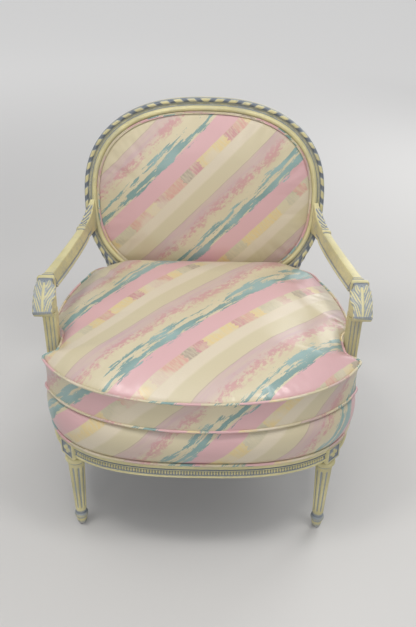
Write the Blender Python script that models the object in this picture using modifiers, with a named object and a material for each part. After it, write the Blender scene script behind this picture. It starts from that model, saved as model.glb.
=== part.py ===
"""Oval-back open armchair with a sprung seat and a loose T cushion.

Metres, +Z up. The chair faces -Y and stands on the floor at Z 0. While it is drawn, Y is counted from
the front of the seat plan; at the end one empty shifts the whole chair so that the middle of its
footprint is the origin.
"""
import math

import bmesh
import bpy
from mathutils import Matrix, Vector

# Seat plan: two half superellipses, joined at the widest line
SEAT_HALF_WIDTH = 0.345
SEAT_WIDEST_Y = 0.170
SEAT_FRONT_REACH = 0.236
SEAT_REAR_REACH = 0.400
FRONT_FULLNESS = 2.75
REAR_FULLNESS = 2.5

# Seat rails
RAIL_BOTTOM_Z = 0.2335
RAIL_HEIGHT = 0.037
RAIL_THICKNESS = 0.028
RAIL_FILLET_HEIGHT = 0.009
RAIL_BEAD_HEIGHT = 0.011
RAIL_RELIEF = 0.0025

# Front legs
BLOCK_WIDTH = 0.044
BLOCK_PROUD = 0.003
BLOCK_FACE_DEG = 45.0
BLOCK_DROP = 0.008
BLOCK_EDGE = 0.002
ROSETTE_PANEL_WIDTH = 0.032
ROSETTE_PANEL_DEPTH = 0.002
ROSETTE_RADIUS = 0.0125
ROSETTE_HEIGHT = 0.0045
ROSETTE_PETALS = 8
LEG_TOP_RADIUS = 0.0185
LEG_FOOT_RADIUS = 0.0125
LEG_COLLAR_RADIUS = 0.0215
LEG_RING_RADIUS = 0.0152
LEG_TOE_HEIGHT = 0.020
LEG_RING_HEIGHT = 0.013
LEG_NECK_HEIGHT = 0.010
LEG_COLLAR_HEIGHT = 0.014
LEG_COLLAR_DROP = 0.006
LEG_FLUTES = 8
LEG_FLUTE_RUN_OUT = 0.009
LEG_FLUTE_DEPTH = 0.0028

# Rear legs and uprights
REAR_LEG_FRONT_Y = 0.482
REAR_LEG_WIDTH = 0.032
REAR_LEG_FOOT_WIDTH = 0.024
REAR_LEG_KICK = 0.058
REAR_LEG_INSET = 0.006
UPRIGHT_DEPTH = 0.022
UPRIGHT_TIP_RISE = 0.150
UPRIGHT_TAPER = 0.085
UPRIGHT_SHOW = 0.017

# Glides
GLIDE_HEIGHT = 0.006
GLIDE_RADIUS = 0.0088
GLIDE_STEPS = 12

# Corner braces and their screws
BRACE_WIDTH = 0.030
BRACE_HEIGHT = 0.030
BRACE_CLEARANCE = 0.0008
SCREW_RADIUS = 0.0023
SCREW_HEAD_RADIUS = 0.0048
SCREW_HEAD_HEIGHT = 0.003
SCREW_BITE = 0.018
SCREW_POINT = 0.006
SCREW_STEPS = 8

# Oval back
BACK_RAKE_DEG = 10.0
BACK_PLANE_Y = 0.510
BACK_PLANE_Z = 0.4635
OVAL_CENTRE_Z = 0.6135
OVAL_HALF_WIDTH = 0.305
OVAL_HALF_HEIGHT = 0.252
OVAL_FULLNESS = 2.4
OVAL_DEPTH = 0.026
RIBBON_WIDTH = 0.009
COVE_WIDTH = 0.009
BEAD_WIDTH = 0.010
RABBET_WIDTH = 0.022
RABBET_DEPTH = 0.009
REAR_RABBET_DEPTH = 0.005
REAR_RABBET_LIP = 0.002
OVAL_REAR_EDGE = 0.004
MOULDING_PROUD = 0.002
CREST_HALF_ANGLE_DEG = 52.0
LOWER_RAIL_HALF_ANGLE_DEG = 48.0

# Arms and posts
POST_Y = 0.150
POST_TOP_WIDTH = 0.027
POST_FOOT_WIDTH = 0.023
POST_TOP_Z = 0.520
POST_GROOVES = 3
POST_GROOVE_DEPTH = 0.0018
ARM_TOP_Z = 0.5765
ARM_DEPTH = 0.032
ARM_REAR_WIDTH = 0.027
ARM_FRONT_WIDTH = 0.033
ARM_LEAF_WIDTH = 0.041
ARM_REAR_COLLAR_Y = 0.440
ARM_FRONT_COLLAR_Y = 0.195
ARM_COLLAR_PROUD = 0.0025
ARM_COLLAR_LENGTH = 0.010
ARM_FRONT_OUTSET = 0.014
SHOULDER_RISE = 0.024
SHOULDER_DROP = 0.014
SCROLL_REACH = 0.034

# Seat upholstery
DECK_HEIGHT = 0.094
DECK_BULGE = 0.010
DECK_EDGE_WIDTH = 0.046
DECK_PAD = 0.019
DECK_REAR_GAP = 0.012
DECK_REAR_SETBACK = 0.003
DECK_NOTCH_CLEARANCE = 0.0015
DECK_SECTIONS = 52
WELT_RADIUS = 0.0032
CLOTH_THICKNESS = 0.0012
WEB_WIDTH = 0.050
WEB_STEP_X = 0.150
WEB_STEP_Y = 0.130
WEB_MIDDLE_Y = 0.205
WEB_STRIPS = 3
SPRING_END_RADIUS = 0.036
SPRING_WAIST_RADIUS = 0.024
SPRING_WIRE_RADIUS = 0.0016
SPRING_TURNS = 4

# Loose cushion
CUSHION_BOX_HEIGHT = 0.079
CUSHION_CROWN = 0.045
CUSHION_DRAW_IN = 0.005
CUSHION_EDGE_ROUND = 0.010
CUSHION_EAR_OVERHANG = 0.018
CUSHION_FRONT_OVERHANG = 0.003
CUSHION_FRONT_FULLNESS = 2.2
CUSHION_EAR_Y = 0.086
CUSHION_BAY_LENGTH = 0.092
CUSHION_BAY_CLEARANCE = 0.004
CUSHION_SIDE_INSET = 0.003
CUSHION_REAR_GAP = 0.018
CUSHION_REAR_CORNER = 0.050
CUSHION_REAR_RISE_Y = 0.270
CUSHION_REAR_RISE_LENGTH = 0.130
ZIPPER_LENGTH = 0.260
ZIPPER_WIDTH = 0.020
ZIPPER_THICKNESS = 0.0015
SLIDER_WIDTH = 0.009
SLIDER_HEIGHT = 0.012
SLIDER_THICKNESS = 0.0035
SLIDER_PULL_LENGTH = 0.018

# Back upholstery
BACK_CROWN = 0.022
BACK_WELT_WIDTH = 0.0095
OUTSIDE_BACK_CROWN = 0.004

# Gap kept between neighbouring pieces, and how near two points are when they count as one
GAP = 0.0003
MERGE_DISTANCE = 0.00005

RAIL_TOP_Z = RAIL_BOTTOM_Z + RAIL_HEIGHT
DECK_TOP_Z = RAIL_TOP_Z + GAP + DECK_HEIGHT
RAKE = math.radians(BACK_RAKE_DEG)
LEFT, RIGHT = -1.0, 1.0
SIDES = (("left", LEFT), ("right", RIGHT))

CREAM_PAINT = ("cream_paint", (0.80, 0.74, 0.50), 0.45, 0.0)
BARE_BEECH = ("bare_beech", (0.62, 0.45, 0.28), 0.60, 0.0)
STRIPED_COTTON = ("striped_cotton", (0.82, 0.66, 0.62), 0.40, 0.0)
JUTE = ("jute", (0.48, 0.36, 0.20), 0.90, 0.0)
BURLAP = ("burlap", (0.58, 0.46, 0.29), 0.90, 0.0)
BLACK_CAMBRIC = ("black_cambric", (0.03, 0.03, 0.035), 0.90, 0.0)
SPRING_STEEL = ("spring_steel", (0.55, 0.56, 0.58), 0.35, 1.0)
ZINC_STEEL = ("zinc_steel", (0.66, 0.66, 0.64), 0.30, 1.0)
NYLON_COIL = ("nylon_coil", (0.78, 0.74, 0.66), 0.55, 0.0)


def clear_scene():
    for thing in list(bpy.data.objects):
        bpy.data.objects.remove(thing, do_unlink=True)


clear_scene()
PARTS = bpy.data.collections.new("oval_back_armchair")
CUTTERS = bpy.data.collections.new("cutters")
bpy.context.scene.collection.children.link(PARTS)
bpy.context.scene.collection.children.link(CUTTERS)


# Scene helpers
def finish_material(node_name, finish):
    """Makes a piece's own material from a finish."""
    finish_name, colour, roughness, metallic = finish
    material = bpy.data.materials.new(f"{node_name}_{finish_name}")
    material.use_nodes = True
    shader = material.node_tree.nodes["Principled BSDF"]
    shader.inputs["Base Color"].default_value = (*colour, 1.0)
    shader.inputs["Roughness"].default_value = roughness
    shader.inputs["Metallic"].default_value = metallic
    return material


def add_empty(name, location=(0.0, 0.0, 0.0), parent=None):
    empty = bpy.data.objects.new(name, None)
    empty.location = location
    empty.parent = parent
    PARTS.objects.link(empty)
    return empty


def add_piece(name, bm, finish, parent, smooth_deg=40.0):
    """Turns a bmesh into a named piece with its own material."""
    mesh = bpy.data.meshes.new(name)
    bm.to_mesh(mesh)
    bm.free()
    mesh.shade_smooth()
    mesh.set_sharp_from_angle(angle=math.radians(smooth_deg))
    piece = bpy.data.objects.new(name, mesh)
    piece.parent = parent
    mesh.materials.append(finish_material(name, finish))
    PARTS.objects.link(piece)
    return piece


def add_cutter(name, bm, parent):
    mesh = bpy.data.meshes.new(name)
    bm.to_mesh(mesh)
    bm.free()
    cutter = bpy.data.objects.new(name, mesh)
    cutter.parent = parent
    cutter.hide_render = True
    cutter.display_type = "WIRE"
    CUTTERS.objects.link(cutter)
    return cutter


def combine(piece, tool, operation="DIFFERENCE"):
    modifier = piece.modifiers.new(f"{operation.lower()}_{tool.name}", "BOOLEAN")
    modifier.operation = operation
    modifier.object = tool
    modifier.solver = "EXACT"


# Shape helpers
def loft(rings, closed=False):
    """Skins rings of equal length. Open lofts get a fan of faces at each end."""
    bm = bmesh.new()
    rows = [[bm.verts.new(point) for point in ring] for ring in rings]
    count = len(rows[0])
    spans = len(rows) if closed else len(rows) - 1
    for index in range(spans):
        low = rows[index]
        high = rows[(index + 1) % len(rows)]
        for here in range(count):
            there = (here + 1) % count
            bm.faces.new((low[here], low[there], high[there], high[here]))
    if not closed:
        for row in (rows[0], rows[-1]):
            bm.faces.new(row)
    bmesh.ops.recalc_face_normals(bm, faces=bm.faces)
    return bm


def domed_loft(low_pole, rings, high_pole):
    """A loft whose two ends close on a point each."""
    bm = bmesh.new()
    rows = [[bm.verts.new(point) for point in ring] for ring in rings]
    count = len(rows[0])
    for low, high in zip(rows, rows[1:]):
        for here in range(count):
            there = (here + 1) % count
            bm.faces.new((low[here], low[there], high[there], high[here]))
    for pole, row in ((low_pole, rows[0]), (high_pole, rows[-1])):
        tip = bm.verts.new(pole)
        for here in range(count):
            bm.faces.new((tip, row[here], row[(here + 1) % count]))
    bmesh.ops.recalc_face_normals(bm, faces=bm.faces)
    return bm


def box(low, high):
    bm = bmesh.new()
    size = Vector(high) - Vector(low)
    middle = (Vector(high) + Vector(low)) / 2
    matrix = Matrix.Translation(middle) @ Matrix.Diagonal((*size, 1.0))
    bmesh.ops.create_cube(bm, size=1.0, matrix=matrix)
    return bm


def prism(outline, low_z, high_z):
    """An upright solid on a flat outline of (x, y) points."""
    return loft([[(x, y, z) for x, y in outline] for z in (low_z, high_z)])


def turned_piece(name, profile, steps, finish, parent):
    """A turned piece: a profile of (radius, z) points, from top to bottom, spun about its own Z."""
    bm = bmesh.new()
    points = [bm.verts.new((radius, 0.0, z)) for radius, z in profile]
    for here, there in zip(points, points[1:]):
        bm.edges.new((here, there))
    piece = add_piece(name, bm, finish, parent)
    screw = piece.modifiers.new("turning", "SCREW")
    screw.axis = "Z"
    screw.steps = steps
    screw.render_steps = steps
    screw.use_merge_vertices = True
    screw.merge_threshold = MERGE_DISTANCE
    return piece


def power(value, exponent):
    return math.copysign(abs(value) ** exponent, value)


def mix(first, second, share):
    return first + (second - first) * share


def arc_lengths(points):
    lengths = [0.0]
    for here, there in zip(points, points[1:]):
        lengths.append(lengths[-1] + (there - here).length)
    return lengths


def along(points, lengths, distance):
    """The point at a distance along a polyline."""
    for index in range(len(points) - 1):
        if distance <= lengths[index + 1]:
            span = lengths[index + 1] - lengths[index]
            return points[index].lerp(points[index + 1], (distance - lengths[index]) / span)
    return points[-1].copy()


def evenly(points, count):
    """Spaces count points evenly along a polyline."""
    lengths = arc_lengths(points)
    return [along(points, lengths, lengths[-1] * step / (count - 1)) for step in range(count)]


def evenly_closed(points, count):
    return evenly(points + [points[0]], count + 1)[:-1]


def outline_normals(points):
    """Outward normals of a closed outline that runs anticlockwise."""
    normals = []
    for index in range(len(points)):
        tangent = points[(index + 1) % len(points)] - points[index - 1]
        normals.append(Vector((tangent.y, -tangent.x)).normalized())
    return normals


def offset(points, distance):
    normals = outline_normals(points)
    return [point + normal * distance for point, normal in zip(points, normals)]


# Seat plan
def plan_half(y):
    if y < SEAT_WIDEST_Y:
        return SEAT_FRONT_REACH, FRONT_FULLNESS
    return SEAT_REAR_REACH, REAR_FULLNESS


def plan_point(degrees):
    """A point on the rails' outer face; -90 is the middle of the front, 0 the widest line."""
    angle = math.radians(degrees)
    reach, fullness = plan_half(SEAT_WIDEST_Y + math.sin(angle))
    return Vector((
        SEAT_HALF_WIDTH * power(math.cos(angle), 2 / fullness),
        SEAT_WIDEST_Y + reach * power(math.sin(angle), 2 / fullness),
    ))


def plan_normal(point):
    reach, fullness = plan_half(point.y)
    return Vector((
        power(point.x / SEAT_HALF_WIDTH, fullness - 1) / SEAT_HALF_WIDTH,
        power((point.y - SEAT_WIDEST_Y) / reach, fullness - 1) / reach,
    )).normalized()


def plan_half_width(y):
    reach, fullness = plan_half(y)
    return SEAT_HALF_WIDTH * (1 - abs((y - SEAT_WIDEST_Y) / reach) ** fullness) ** (1 / fullness)


def bisect(low, high, is_low):
    for _ in range(60):
        middle = (low + high) / 2
        if is_low(middle):
            low = middle
        else:
            high = middle
    return low


def plan_degrees_facing(face_deg):
    """Where the plan faces a given angle out from straight ahead, on the right side."""
    def faces_less(degrees):
        normal = plan_normal(plan_point(degrees))
        return math.degrees(math.atan2(normal.x, -normal.y)) < face_deg
    return bisect(-89.9, -0.1, faces_less)


def plan_degrees_at_y(y):
    return bisect(0.0, 89.9, lambda degrees: plan_point(degrees).y < y)


def plan_curve(start_deg, end_deg, count):
    steps = 400
    dense = [plan_point(mix(start_deg, end_deg, step / steps)) for step in range(steps + 1)]
    return evenly(dense, count)


def seat_outline(count, rear_y, rear_round=0.010):
    """The whole seat plan, its rear cut straight across with rounded corners."""
    dense = []
    for step in range(720):
        point = plan_point(-90 + step / 2)
        point.y = rear_y - rear_round * math.log1p(math.exp((rear_y - point.y) / rear_round))
        dense.append(point)
    return evenly_closed(dense, count)


# Back plane: local X across, local Z up the slope, local Y into the back
def back_plane_y(z):
    return BACK_PLANE_Y + (z - BACK_PLANE_Z) * math.tan(RAKE)


def oval_point(degrees):
    angle = math.radians(degrees)
    return Vector((
        OVAL_HALF_WIDTH * power(math.cos(angle), 2 / OVAL_FULLNESS),
        OVAL_HALF_HEIGHT * power(math.sin(angle), 2 / OVAL_FULLNESS),
    ))


def oval_normal(point):
    return Vector((
        power(point.x / OVAL_HALF_WIDTH, OVAL_FULLNESS - 1) / OVAL_HALF_WIDTH,
        power(point.y / OVAL_HALF_HEIGHT, OVAL_FULLNESS - 1) / OVAL_HALF_HEIGHT,
    )).normalized()


def oval_lengths():
    """The four lengths of the oval frame: name, start angle, end angle and number of sections."""
    crest_low = 90 - CREST_HALF_ANGLE_DEG
    lower_high = -90 + LOWER_RAIL_HALF_ANGLE_DEG
    return (
        ("back_stile_right", lower_high, crest_low, 11),
        ("crest_rail", crest_low, 180 - crest_low, 21),
        ("back_stile_left", 180 - crest_low, 180 - lower_high, 11),
        ("lower_back_rail", 180 - lower_high, 360 + lower_high, 19),
    )


def oval_curve(start_deg, end_deg, count):
    steps = 400
    dense = [oval_point(mix(start_deg, end_deg, step / steps)) for step in range(steps + 1)]
    return evenly(dense, count)


def oval_loop(inset):
    """The closed oval through the sections of its four lengths, inset from the outer edge."""
    points = []
    for _, start_deg, end_deg, count in oval_lengths():
        points += oval_curve(start_deg, end_deg, count)[:-1]
    return [point - oval_normal(point) * inset for point in points]


def oval_half_width_at(z):
    slope = (z - OVAL_CENTRE_Z) / math.cos(RAKE) / OVAL_HALF_HEIGHT
    return OVAL_HALF_WIDTH * max(0.0, 1 - abs(slope) ** OVAL_FULLNESS) ** (1 / OVAL_FULLNESS)


CHAIR = add_empty("chair_origin")
BACK_TILT = add_empty("back_tilt", (0.0, back_plane_y(OVAL_CENTRE_Z), OVAL_CENTRE_Z), CHAIR)
BACK_TILT.rotation_euler.x = -RAKE

# Places that several pieces share
BLOCK_PLAN_DEG = plan_degrees_facing(BLOCK_FACE_DEG)
BLOCK_FACE = plan_point(BLOCK_PLAN_DEG)
BLOCK_OUTWARD = plan_normal(BLOCK_FACE)
BLOCK_CENTRE = BLOCK_FACE + BLOCK_OUTWARD * (BLOCK_PROUD - BLOCK_WIDTH / 2)
BLOCK_BOTTOM_Z = RAIL_BOTTOM_Z - BLOCK_DROP
REAR_LEG_Y = REAR_LEG_FRONT_Y + REAR_LEG_WIDTH / 2
REAR_LEG_X = plan_half_width(REAR_LEG_FRONT_Y) - REAR_LEG_WIDTH / 2
REAR_RAIL_FRONT_Y = REAR_LEG_FRONT_Y + REAR_LEG_WIDTH - RAIL_THICKNESS
POST_X = plan_half_width(POST_Y) - RAIL_THICKNESS / 2
MOULDING_WIDTH = RIBBON_WIDTH + COVE_WIDTH + BEAD_WIDTH


# Front legs
def round_ring(radius, z, depth=0.0):
    """A ring of the turned leg; a depth sinks its flutes."""
    pattern = (0.0, 1.0, 1.0)
    count = LEG_FLUTES * len(pattern)
    ring = []
    for step in range(count):
        reach = radius - depth * pattern[step % len(pattern)]
        angle = 2 * math.pi * step / count
        ring.append((reach * math.cos(angle), reach * math.sin(angle), z))
    return ring


def square_ring(half_width, z):
    count = LEG_FLUTES * 3
    ring = []
    for step in range(count):
        angle = 2 * math.pi * step / count
        reach = half_width / max(abs(math.cos(angle)), abs(math.sin(angle)))
        ring.append((reach * math.cos(angle), reach * math.sin(angle), z))
    return ring


def leg_rings():
    """Sections of the front leg, from the toe up to its corner block."""
    neck = LEG_TOP_RADIUS * 0.9
    ring_low = GLIDE_HEIGHT + LEG_TOE_HEIGHT
    ring_high = ring_low + LEG_RING_HEIGHT
    shaft_low = ring_high + LEG_NECK_HEIGHT
    collar_high = BLOCK_BOTTOM_Z - LEG_COLLAR_DROP
    collar_low = collar_high - LEG_COLLAR_HEIGHT
    shaft_high = collar_low - LEG_NECK_HEIGHT * 0.8
    collar_edge = mix(neck, LEG_COLLAR_RADIUS, 0.7)
    ring_edge = mix(LEG_FOOT_RADIUS, LEG_RING_RADIUS, 0.6)
    half_block = BLOCK_WIDTH / 2
    return [
        round_ring(LEG_FOOT_RADIUS * 0.76, GLIDE_HEIGHT),
        round_ring(LEG_FOOT_RADIUS * 0.92, GLIDE_HEIGHT + LEG_TOE_HEIGHT * 0.75),
        round_ring(ring_edge, ring_low),
        round_ring(LEG_RING_RADIUS, mix(ring_low, ring_high, 0.3)),
        round_ring(LEG_RING_RADIUS, mix(ring_low, ring_high, 0.7)),
        round_ring(ring_edge, ring_high),
        round_ring(LEG_FOOT_RADIUS * 0.95, mix(ring_high, shaft_low, 0.55)),
        round_ring(LEG_FOOT_RADIUS, shaft_low),
        round_ring(LEG_FOOT_RADIUS, shaft_low + LEG_FLUTE_RUN_OUT, LEG_FLUTE_DEPTH * 0.8),
        round_ring(LEG_TOP_RADIUS, shaft_high - LEG_FLUTE_RUN_OUT, LEG_FLUTE_DEPTH),
        round_ring(LEG_TOP_RADIUS, shaft_high),
        round_ring(neck, mix(shaft_high, collar_low, 0.85)),
        round_ring(collar_edge, collar_low),
        round_ring(LEG_COLLAR_RADIUS, (collar_low + collar_high) / 2),
        round_ring(collar_edge, collar_high),
        round_ring(neck, mix(collar_high, BLOCK_BOTTOM_Z, 0.85)),
        square_ring(half_block - BLOCK_EDGE, BLOCK_BOTTOM_Z),
        square_ring(half_block, BLOCK_BOTTOM_Z + BLOCK_EDGE),
        square_ring(half_block, RAIL_TOP_Z),
    ]


def rosette():
    """A small flower on the block's face; its own X points out of the face."""
    rings = []
    ground = BLOCK_WIDTH / 2 - ROSETTE_PANEL_DEPTH
    middle_z = (BLOCK_BOTTOM_Z + RAIL_TOP_Z) / 2
    steps = ROSETTE_PETALS * 2
    for share, rise in ((1.0, -0.25), (0.92, 0.7), (0.36, 0.5), (0.2, 1.0)):
        ring = []
        for step in range(steps):
            angle = 2 * math.pi * step / steps
            reach = ROSETTE_RADIUS * share * (1 - 0.2 * share * (step % 2))
            out = ground + rise * ROSETTE_HEIGHT
            ring.append((out, reach * math.cos(angle), middle_z + reach * math.sin(angle)))
        rings.append(ring)
    return loft(rings)


def rosette_panel():
    half = ROSETTE_PANEL_WIDTH / 2
    face = BLOCK_WIDTH / 2
    middle_z = (BLOCK_BOTTOM_Z + RAIL_TOP_Z) / 2
    low = (face - ROSETTE_PANEL_DEPTH, -half, middle_z - half)
    return box(low, (face + 0.010, half, middle_z + half))


def build_front_legs():
    legs = {}
    for side_name, side in SIDES:
        place = (side * BLOCK_CENTRE.x, BLOCK_CENTRE.y, 0.0)
        turn = math.atan2(BLOCK_OUTWARD.y, side * BLOCK_OUTWARD.x)
        leg = add_piece(f"front_leg_{side_name}", loft(leg_rings()), CREAM_PAINT, CHAIR)
        sink = add_cutter(f"rosette_panel_{side_name}", rosette_panel(), CHAIR)
        flower = add_cutter(f"rosette_{side_name}", rosette(), CHAIR)
        for thing in (leg, sink, flower):
            thing.location = place
            thing.rotation_euler.z = turn
        combine(leg, sink)
        combine(leg, flower, "UNION")
        legs[side] = leg
    return legs


def block_cutter(side_name, side):
    half = BLOCK_WIDTH / 2 + GAP
    room = 0.05
    bm = box((-half, -half, RAIL_BOTTOM_Z - room), (half, half, RAIL_TOP_Z + room))
    cutter = add_cutter(f"block_room_{side_name}", bm, CHAIR)
    cutter.location = (side * BLOCK_CENTRE.x, BLOCK_CENTRE.y, 0.0)
    cutter.rotation_euler.z = math.atan2(BLOCK_OUTWARD.y, side * BLOCK_OUTWARD.x)
    return cutter


def rear_leg_cutter(side_name, side):
    half = REAR_LEG_WIDTH / 2 + GAP
    room = 0.05
    bm = box((-half, -half, RAIL_BOTTOM_Z - room), (half, half, RAIL_TOP_Z + room))
    cutter = add_cutter(f"rear_leg_room_{side_name}", bm, CHAIR)
    cutter.location = (side * REAR_LEG_X, REAR_LEG_Y, 0.0)
    return cutter


# Seat rails
def rail_profile():
    """Moulded face from the bottom bead up to the top fillet, then the plain back; (out, z) points."""
    bead_top = RAIL_BOTTOM_Z + RAIL_BEAD_HEIGHT
    fillet_low = RAIL_TOP_Z - RAIL_FILLET_HEIGHT
    return (
        (-RAIL_RELIEF, RAIL_BOTTOM_Z),
        (-RAIL_RELIEF * 0.3, RAIL_BOTTOM_Z + RAIL_BEAD_HEIGHT * 0.15),
        (0.0, RAIL_BOTTOM_Z + RAIL_BEAD_HEIGHT * 0.5),
        (-RAIL_RELIEF * 0.3, bead_top - RAIL_BEAD_HEIGHT * 0.15),
        (-RAIL_RELIEF, bead_top),
        (-RAIL_RELIEF, fillet_low),
        (0.0, fillet_low + RAIL_FILLET_HEIGHT * 0.2),
        (0.0, RAIL_TOP_Z - RAIL_FILLET_HEIGHT * 0.2),
        (-RAIL_RELIEF * 0.6, RAIL_TOP_Z),
        (-RAIL_THICKNESS, RAIL_TOP_Z),
        (-RAIL_THICKNESS, RAIL_BOTTOM_Z),
    )


def rail_sweep(points, side=RIGHT):
    rings = []
    for point in points:
        normal = plan_normal(point)
        ring = []
        for out, z in rail_profile():
            place = point + normal * out
            ring.append((side * place.x, place.y, z))
        rings.append(ring)
    return loft(rings)


def build_seat_rails(block_rooms, rear_leg_rooms):
    bow = plan_curve(-180 - BLOCK_PLAN_DEG, BLOCK_PLAN_DEG, 25)
    front = add_piece("front_seat_rail", rail_sweep(bow), CREAM_PAINT, CHAIR)
    for room in block_rooms.values():
        combine(front, room)
    side_rails = {}
    for side_name, side in SIDES:
        curve = plan_curve(BLOCK_PLAN_DEG, plan_degrees_at_y(REAR_LEG_Y), 17)
        rail = add_piece(f"side_seat_rail_{side_name}", rail_sweep(curve, side), CREAM_PAINT, CHAIR)
        combine(rail, block_rooms[side])
        combine(rail, rear_leg_rooms[side])
        side_rails[side] = rail
    half_span = REAR_LEG_X - REAR_LEG_WIDTH / 2 - GAP
    low = (-half_span, REAR_RAIL_FRONT_Y, RAIL_BOTTOM_Z)
    high = (half_span, REAR_RAIL_FRONT_Y + RAIL_THICKNESS, RAIL_TOP_Z)
    add_piece("rear_seat_rail", box(low, high), CREAM_PAINT, CHAIR)
    return side_rails


# Rear legs, each with its upright beside the oval
def upright_x(z):
    """Middle of the upright: over the leg at the seat, hugging the oval's outer edge above."""
    share = min(1.0, max(0.0, (z - RAIL_TOP_Z) / UPRIGHT_TIP_RISE))
    beside_oval = oval_half_width_at(max(z, RAIL_TOP_Z + UPRIGHT_TIP_RISE)) + UPRIGHT_SHOW
    return mix(REAR_LEG_X + REAR_LEG_WIDTH / 2, beside_oval, share * share)


def leg_section(x, y, half_x, half_y, z):
    cut = 0.18
    return [
        (x + half_x * u, y + half_y * v, z)
        for u, v in (
            (-1, -1 + cut), (-1 + cut, -1), (1 - cut, -1), (1, -1 + cut),
            (1, 1 - cut), (1 - cut, 1), (-1 + cut, 1), (-1, 1 - cut),
        )
    ]


def rear_leg_rings(grow=0.0):
    """Sections of the right rear leg and upright, from the foot up; grow adds clearance all round."""
    half = REAR_LEG_WIDTH / 2 + grow
    foot_half = REAR_LEG_FOOT_WIDTH / 2 + grow
    foot_x = REAR_LEG_X - REAR_LEG_INSET
    foot_y = REAR_LEG_Y + REAR_LEG_KICK
    rings = []
    for share in (0.0, 0.35, 0.7, 1.0):
        z = mix(GLIDE_HEIGHT, RAIL_BOTTOM_Z - 0.002, share)
        curve = 1 - (1 - share) ** 1.4
        size = mix(foot_half, half, curve)
        rings.append(leg_section(mix(foot_x, REAR_LEG_X, curve), mix(foot_y, REAR_LEG_Y, curve), size, size, z))
    rings.append(leg_section(REAR_LEG_X, REAR_LEG_Y, half, half, RAIL_TOP_Z + 0.002))
    half_depth = UPRIGHT_DEPTH / 2 + grow
    middle_depth = (OVAL_DEPTH / 2) / math.cos(RAKE)
    tip_z = RAIL_TOP_Z + UPRIGHT_TIP_RISE + UPRIGHT_TAPER
    for share in (0.12, 0.25, 0.4, 0.55, 0.7, 0.85, 1.0):
        z = mix(RAIL_TOP_Z, tip_z, share)
        outer = upright_x(z) - UPRIGHT_SHOW * max(0.0, (share - 0.55) / 0.45)
        width = mix(REAR_LEG_WIDTH, REAR_LEG_WIDTH * 0.8, share)
        settle = min(1.0, share / 0.25)
        y = mix(REAR_LEG_Y, back_plane_y(z) + middle_depth, settle)
        depth = mix(half, half_depth, settle)
        rings.append(leg_section(outer - width / 2, y, width / 2 + grow, depth, z))
    return rings


def oval_room():
    """The oval's whole outline as a slab, a gap larger all round, to trim the uprights."""
    outline = oval_loop(-GAP)
    reach = 0.08
    return loft([[(p.x, depth, p.y) for p in outline] for depth in (-reach, OVAL_DEPTH + reach)])


def build_rear_legs():
    room = add_cutter("oval_room", oval_room(), BACK_TILT)
    legs = {}
    for side_name, side in SIDES:
        rings = [[(side * x, y, z) for x, y, z in ring] for ring in rear_leg_rings()]
        leg = add_piece(f"rear_leg_{side_name}", loft(rings), CREAM_PAINT, CHAIR)
        combine(leg, room)
        legs[side] = leg
    return legs


def build_glides():
    foot_x = REAR_LEG_X - REAR_LEG_INSET
    foot_y = REAR_LEG_Y + REAR_LEG_KICK
    places = {"front": (BLOCK_CENTRE.x, BLOCK_CENTRE.y), "rear": (foot_x, foot_y)}
    dome = (
        (0.0, GLIDE_HEIGHT - GAP),
        (GLIDE_RADIUS * 0.9, GLIDE_HEIGHT - GAP),
        (GLIDE_RADIUS, GLIDE_HEIGHT * 0.6),
        (GLIDE_RADIUS * 0.94, GLIDE_HEIGHT * 0.25),
        (GLIDE_RADIUS * 0.72, 0.0),
        (0.0, 0.0),
    )
    for end, (x, y) in places.items():
        for side_name, side in SIDES:
            glide = turned_piece(f"glide_{end}_{side_name}", dome, GLIDE_STEPS, ZINC_STEEL, CHAIR)
            glide.location = (side * x, y, 0.0)


# Corner braces with one screw each, driven into the leg behind them
def inner_point(degrees, clearance):
    point = plan_point(degrees)
    return point - plan_normal(point) * (RAIL_THICKNESS + clearance)


def front_brace():
    """A brace across the front corner, square to the leg block: its outline and its screw's line."""
    def depth(degrees):
        return -(inner_point(degrees, BRACE_CLEARANCE) - BLOCK_CENTRE).dot(BLOCK_OUTWARD)

    points = []
    for distance in (BLOCK_WIDTH / 2 + GAP, BLOCK_WIDTH / 2 + GAP + BRACE_WIDTH):
        front_deg = bisect(BLOCK_PLAN_DEG, -89.0, lambda deg, far=distance: depth(deg) < far)
        side_deg = bisect(BLOCK_PLAN_DEG, 60.0, lambda deg, far=distance: depth(deg) < far)
        points.append((inner_point(front_deg, BRACE_CLEARANCE), inner_point(side_deg, BRACE_CLEARANCE)))
    (near_front, near_side), (far_front, far_side) = points
    reach = GAP + BRACE_WIDTH
    start = BLOCK_CENTRE - BLOCK_OUTWARD * (BLOCK_WIDTH / 2 + reach)
    return [far_front, near_front, near_side, far_side], start, BLOCK_OUTWARD, reach


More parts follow.
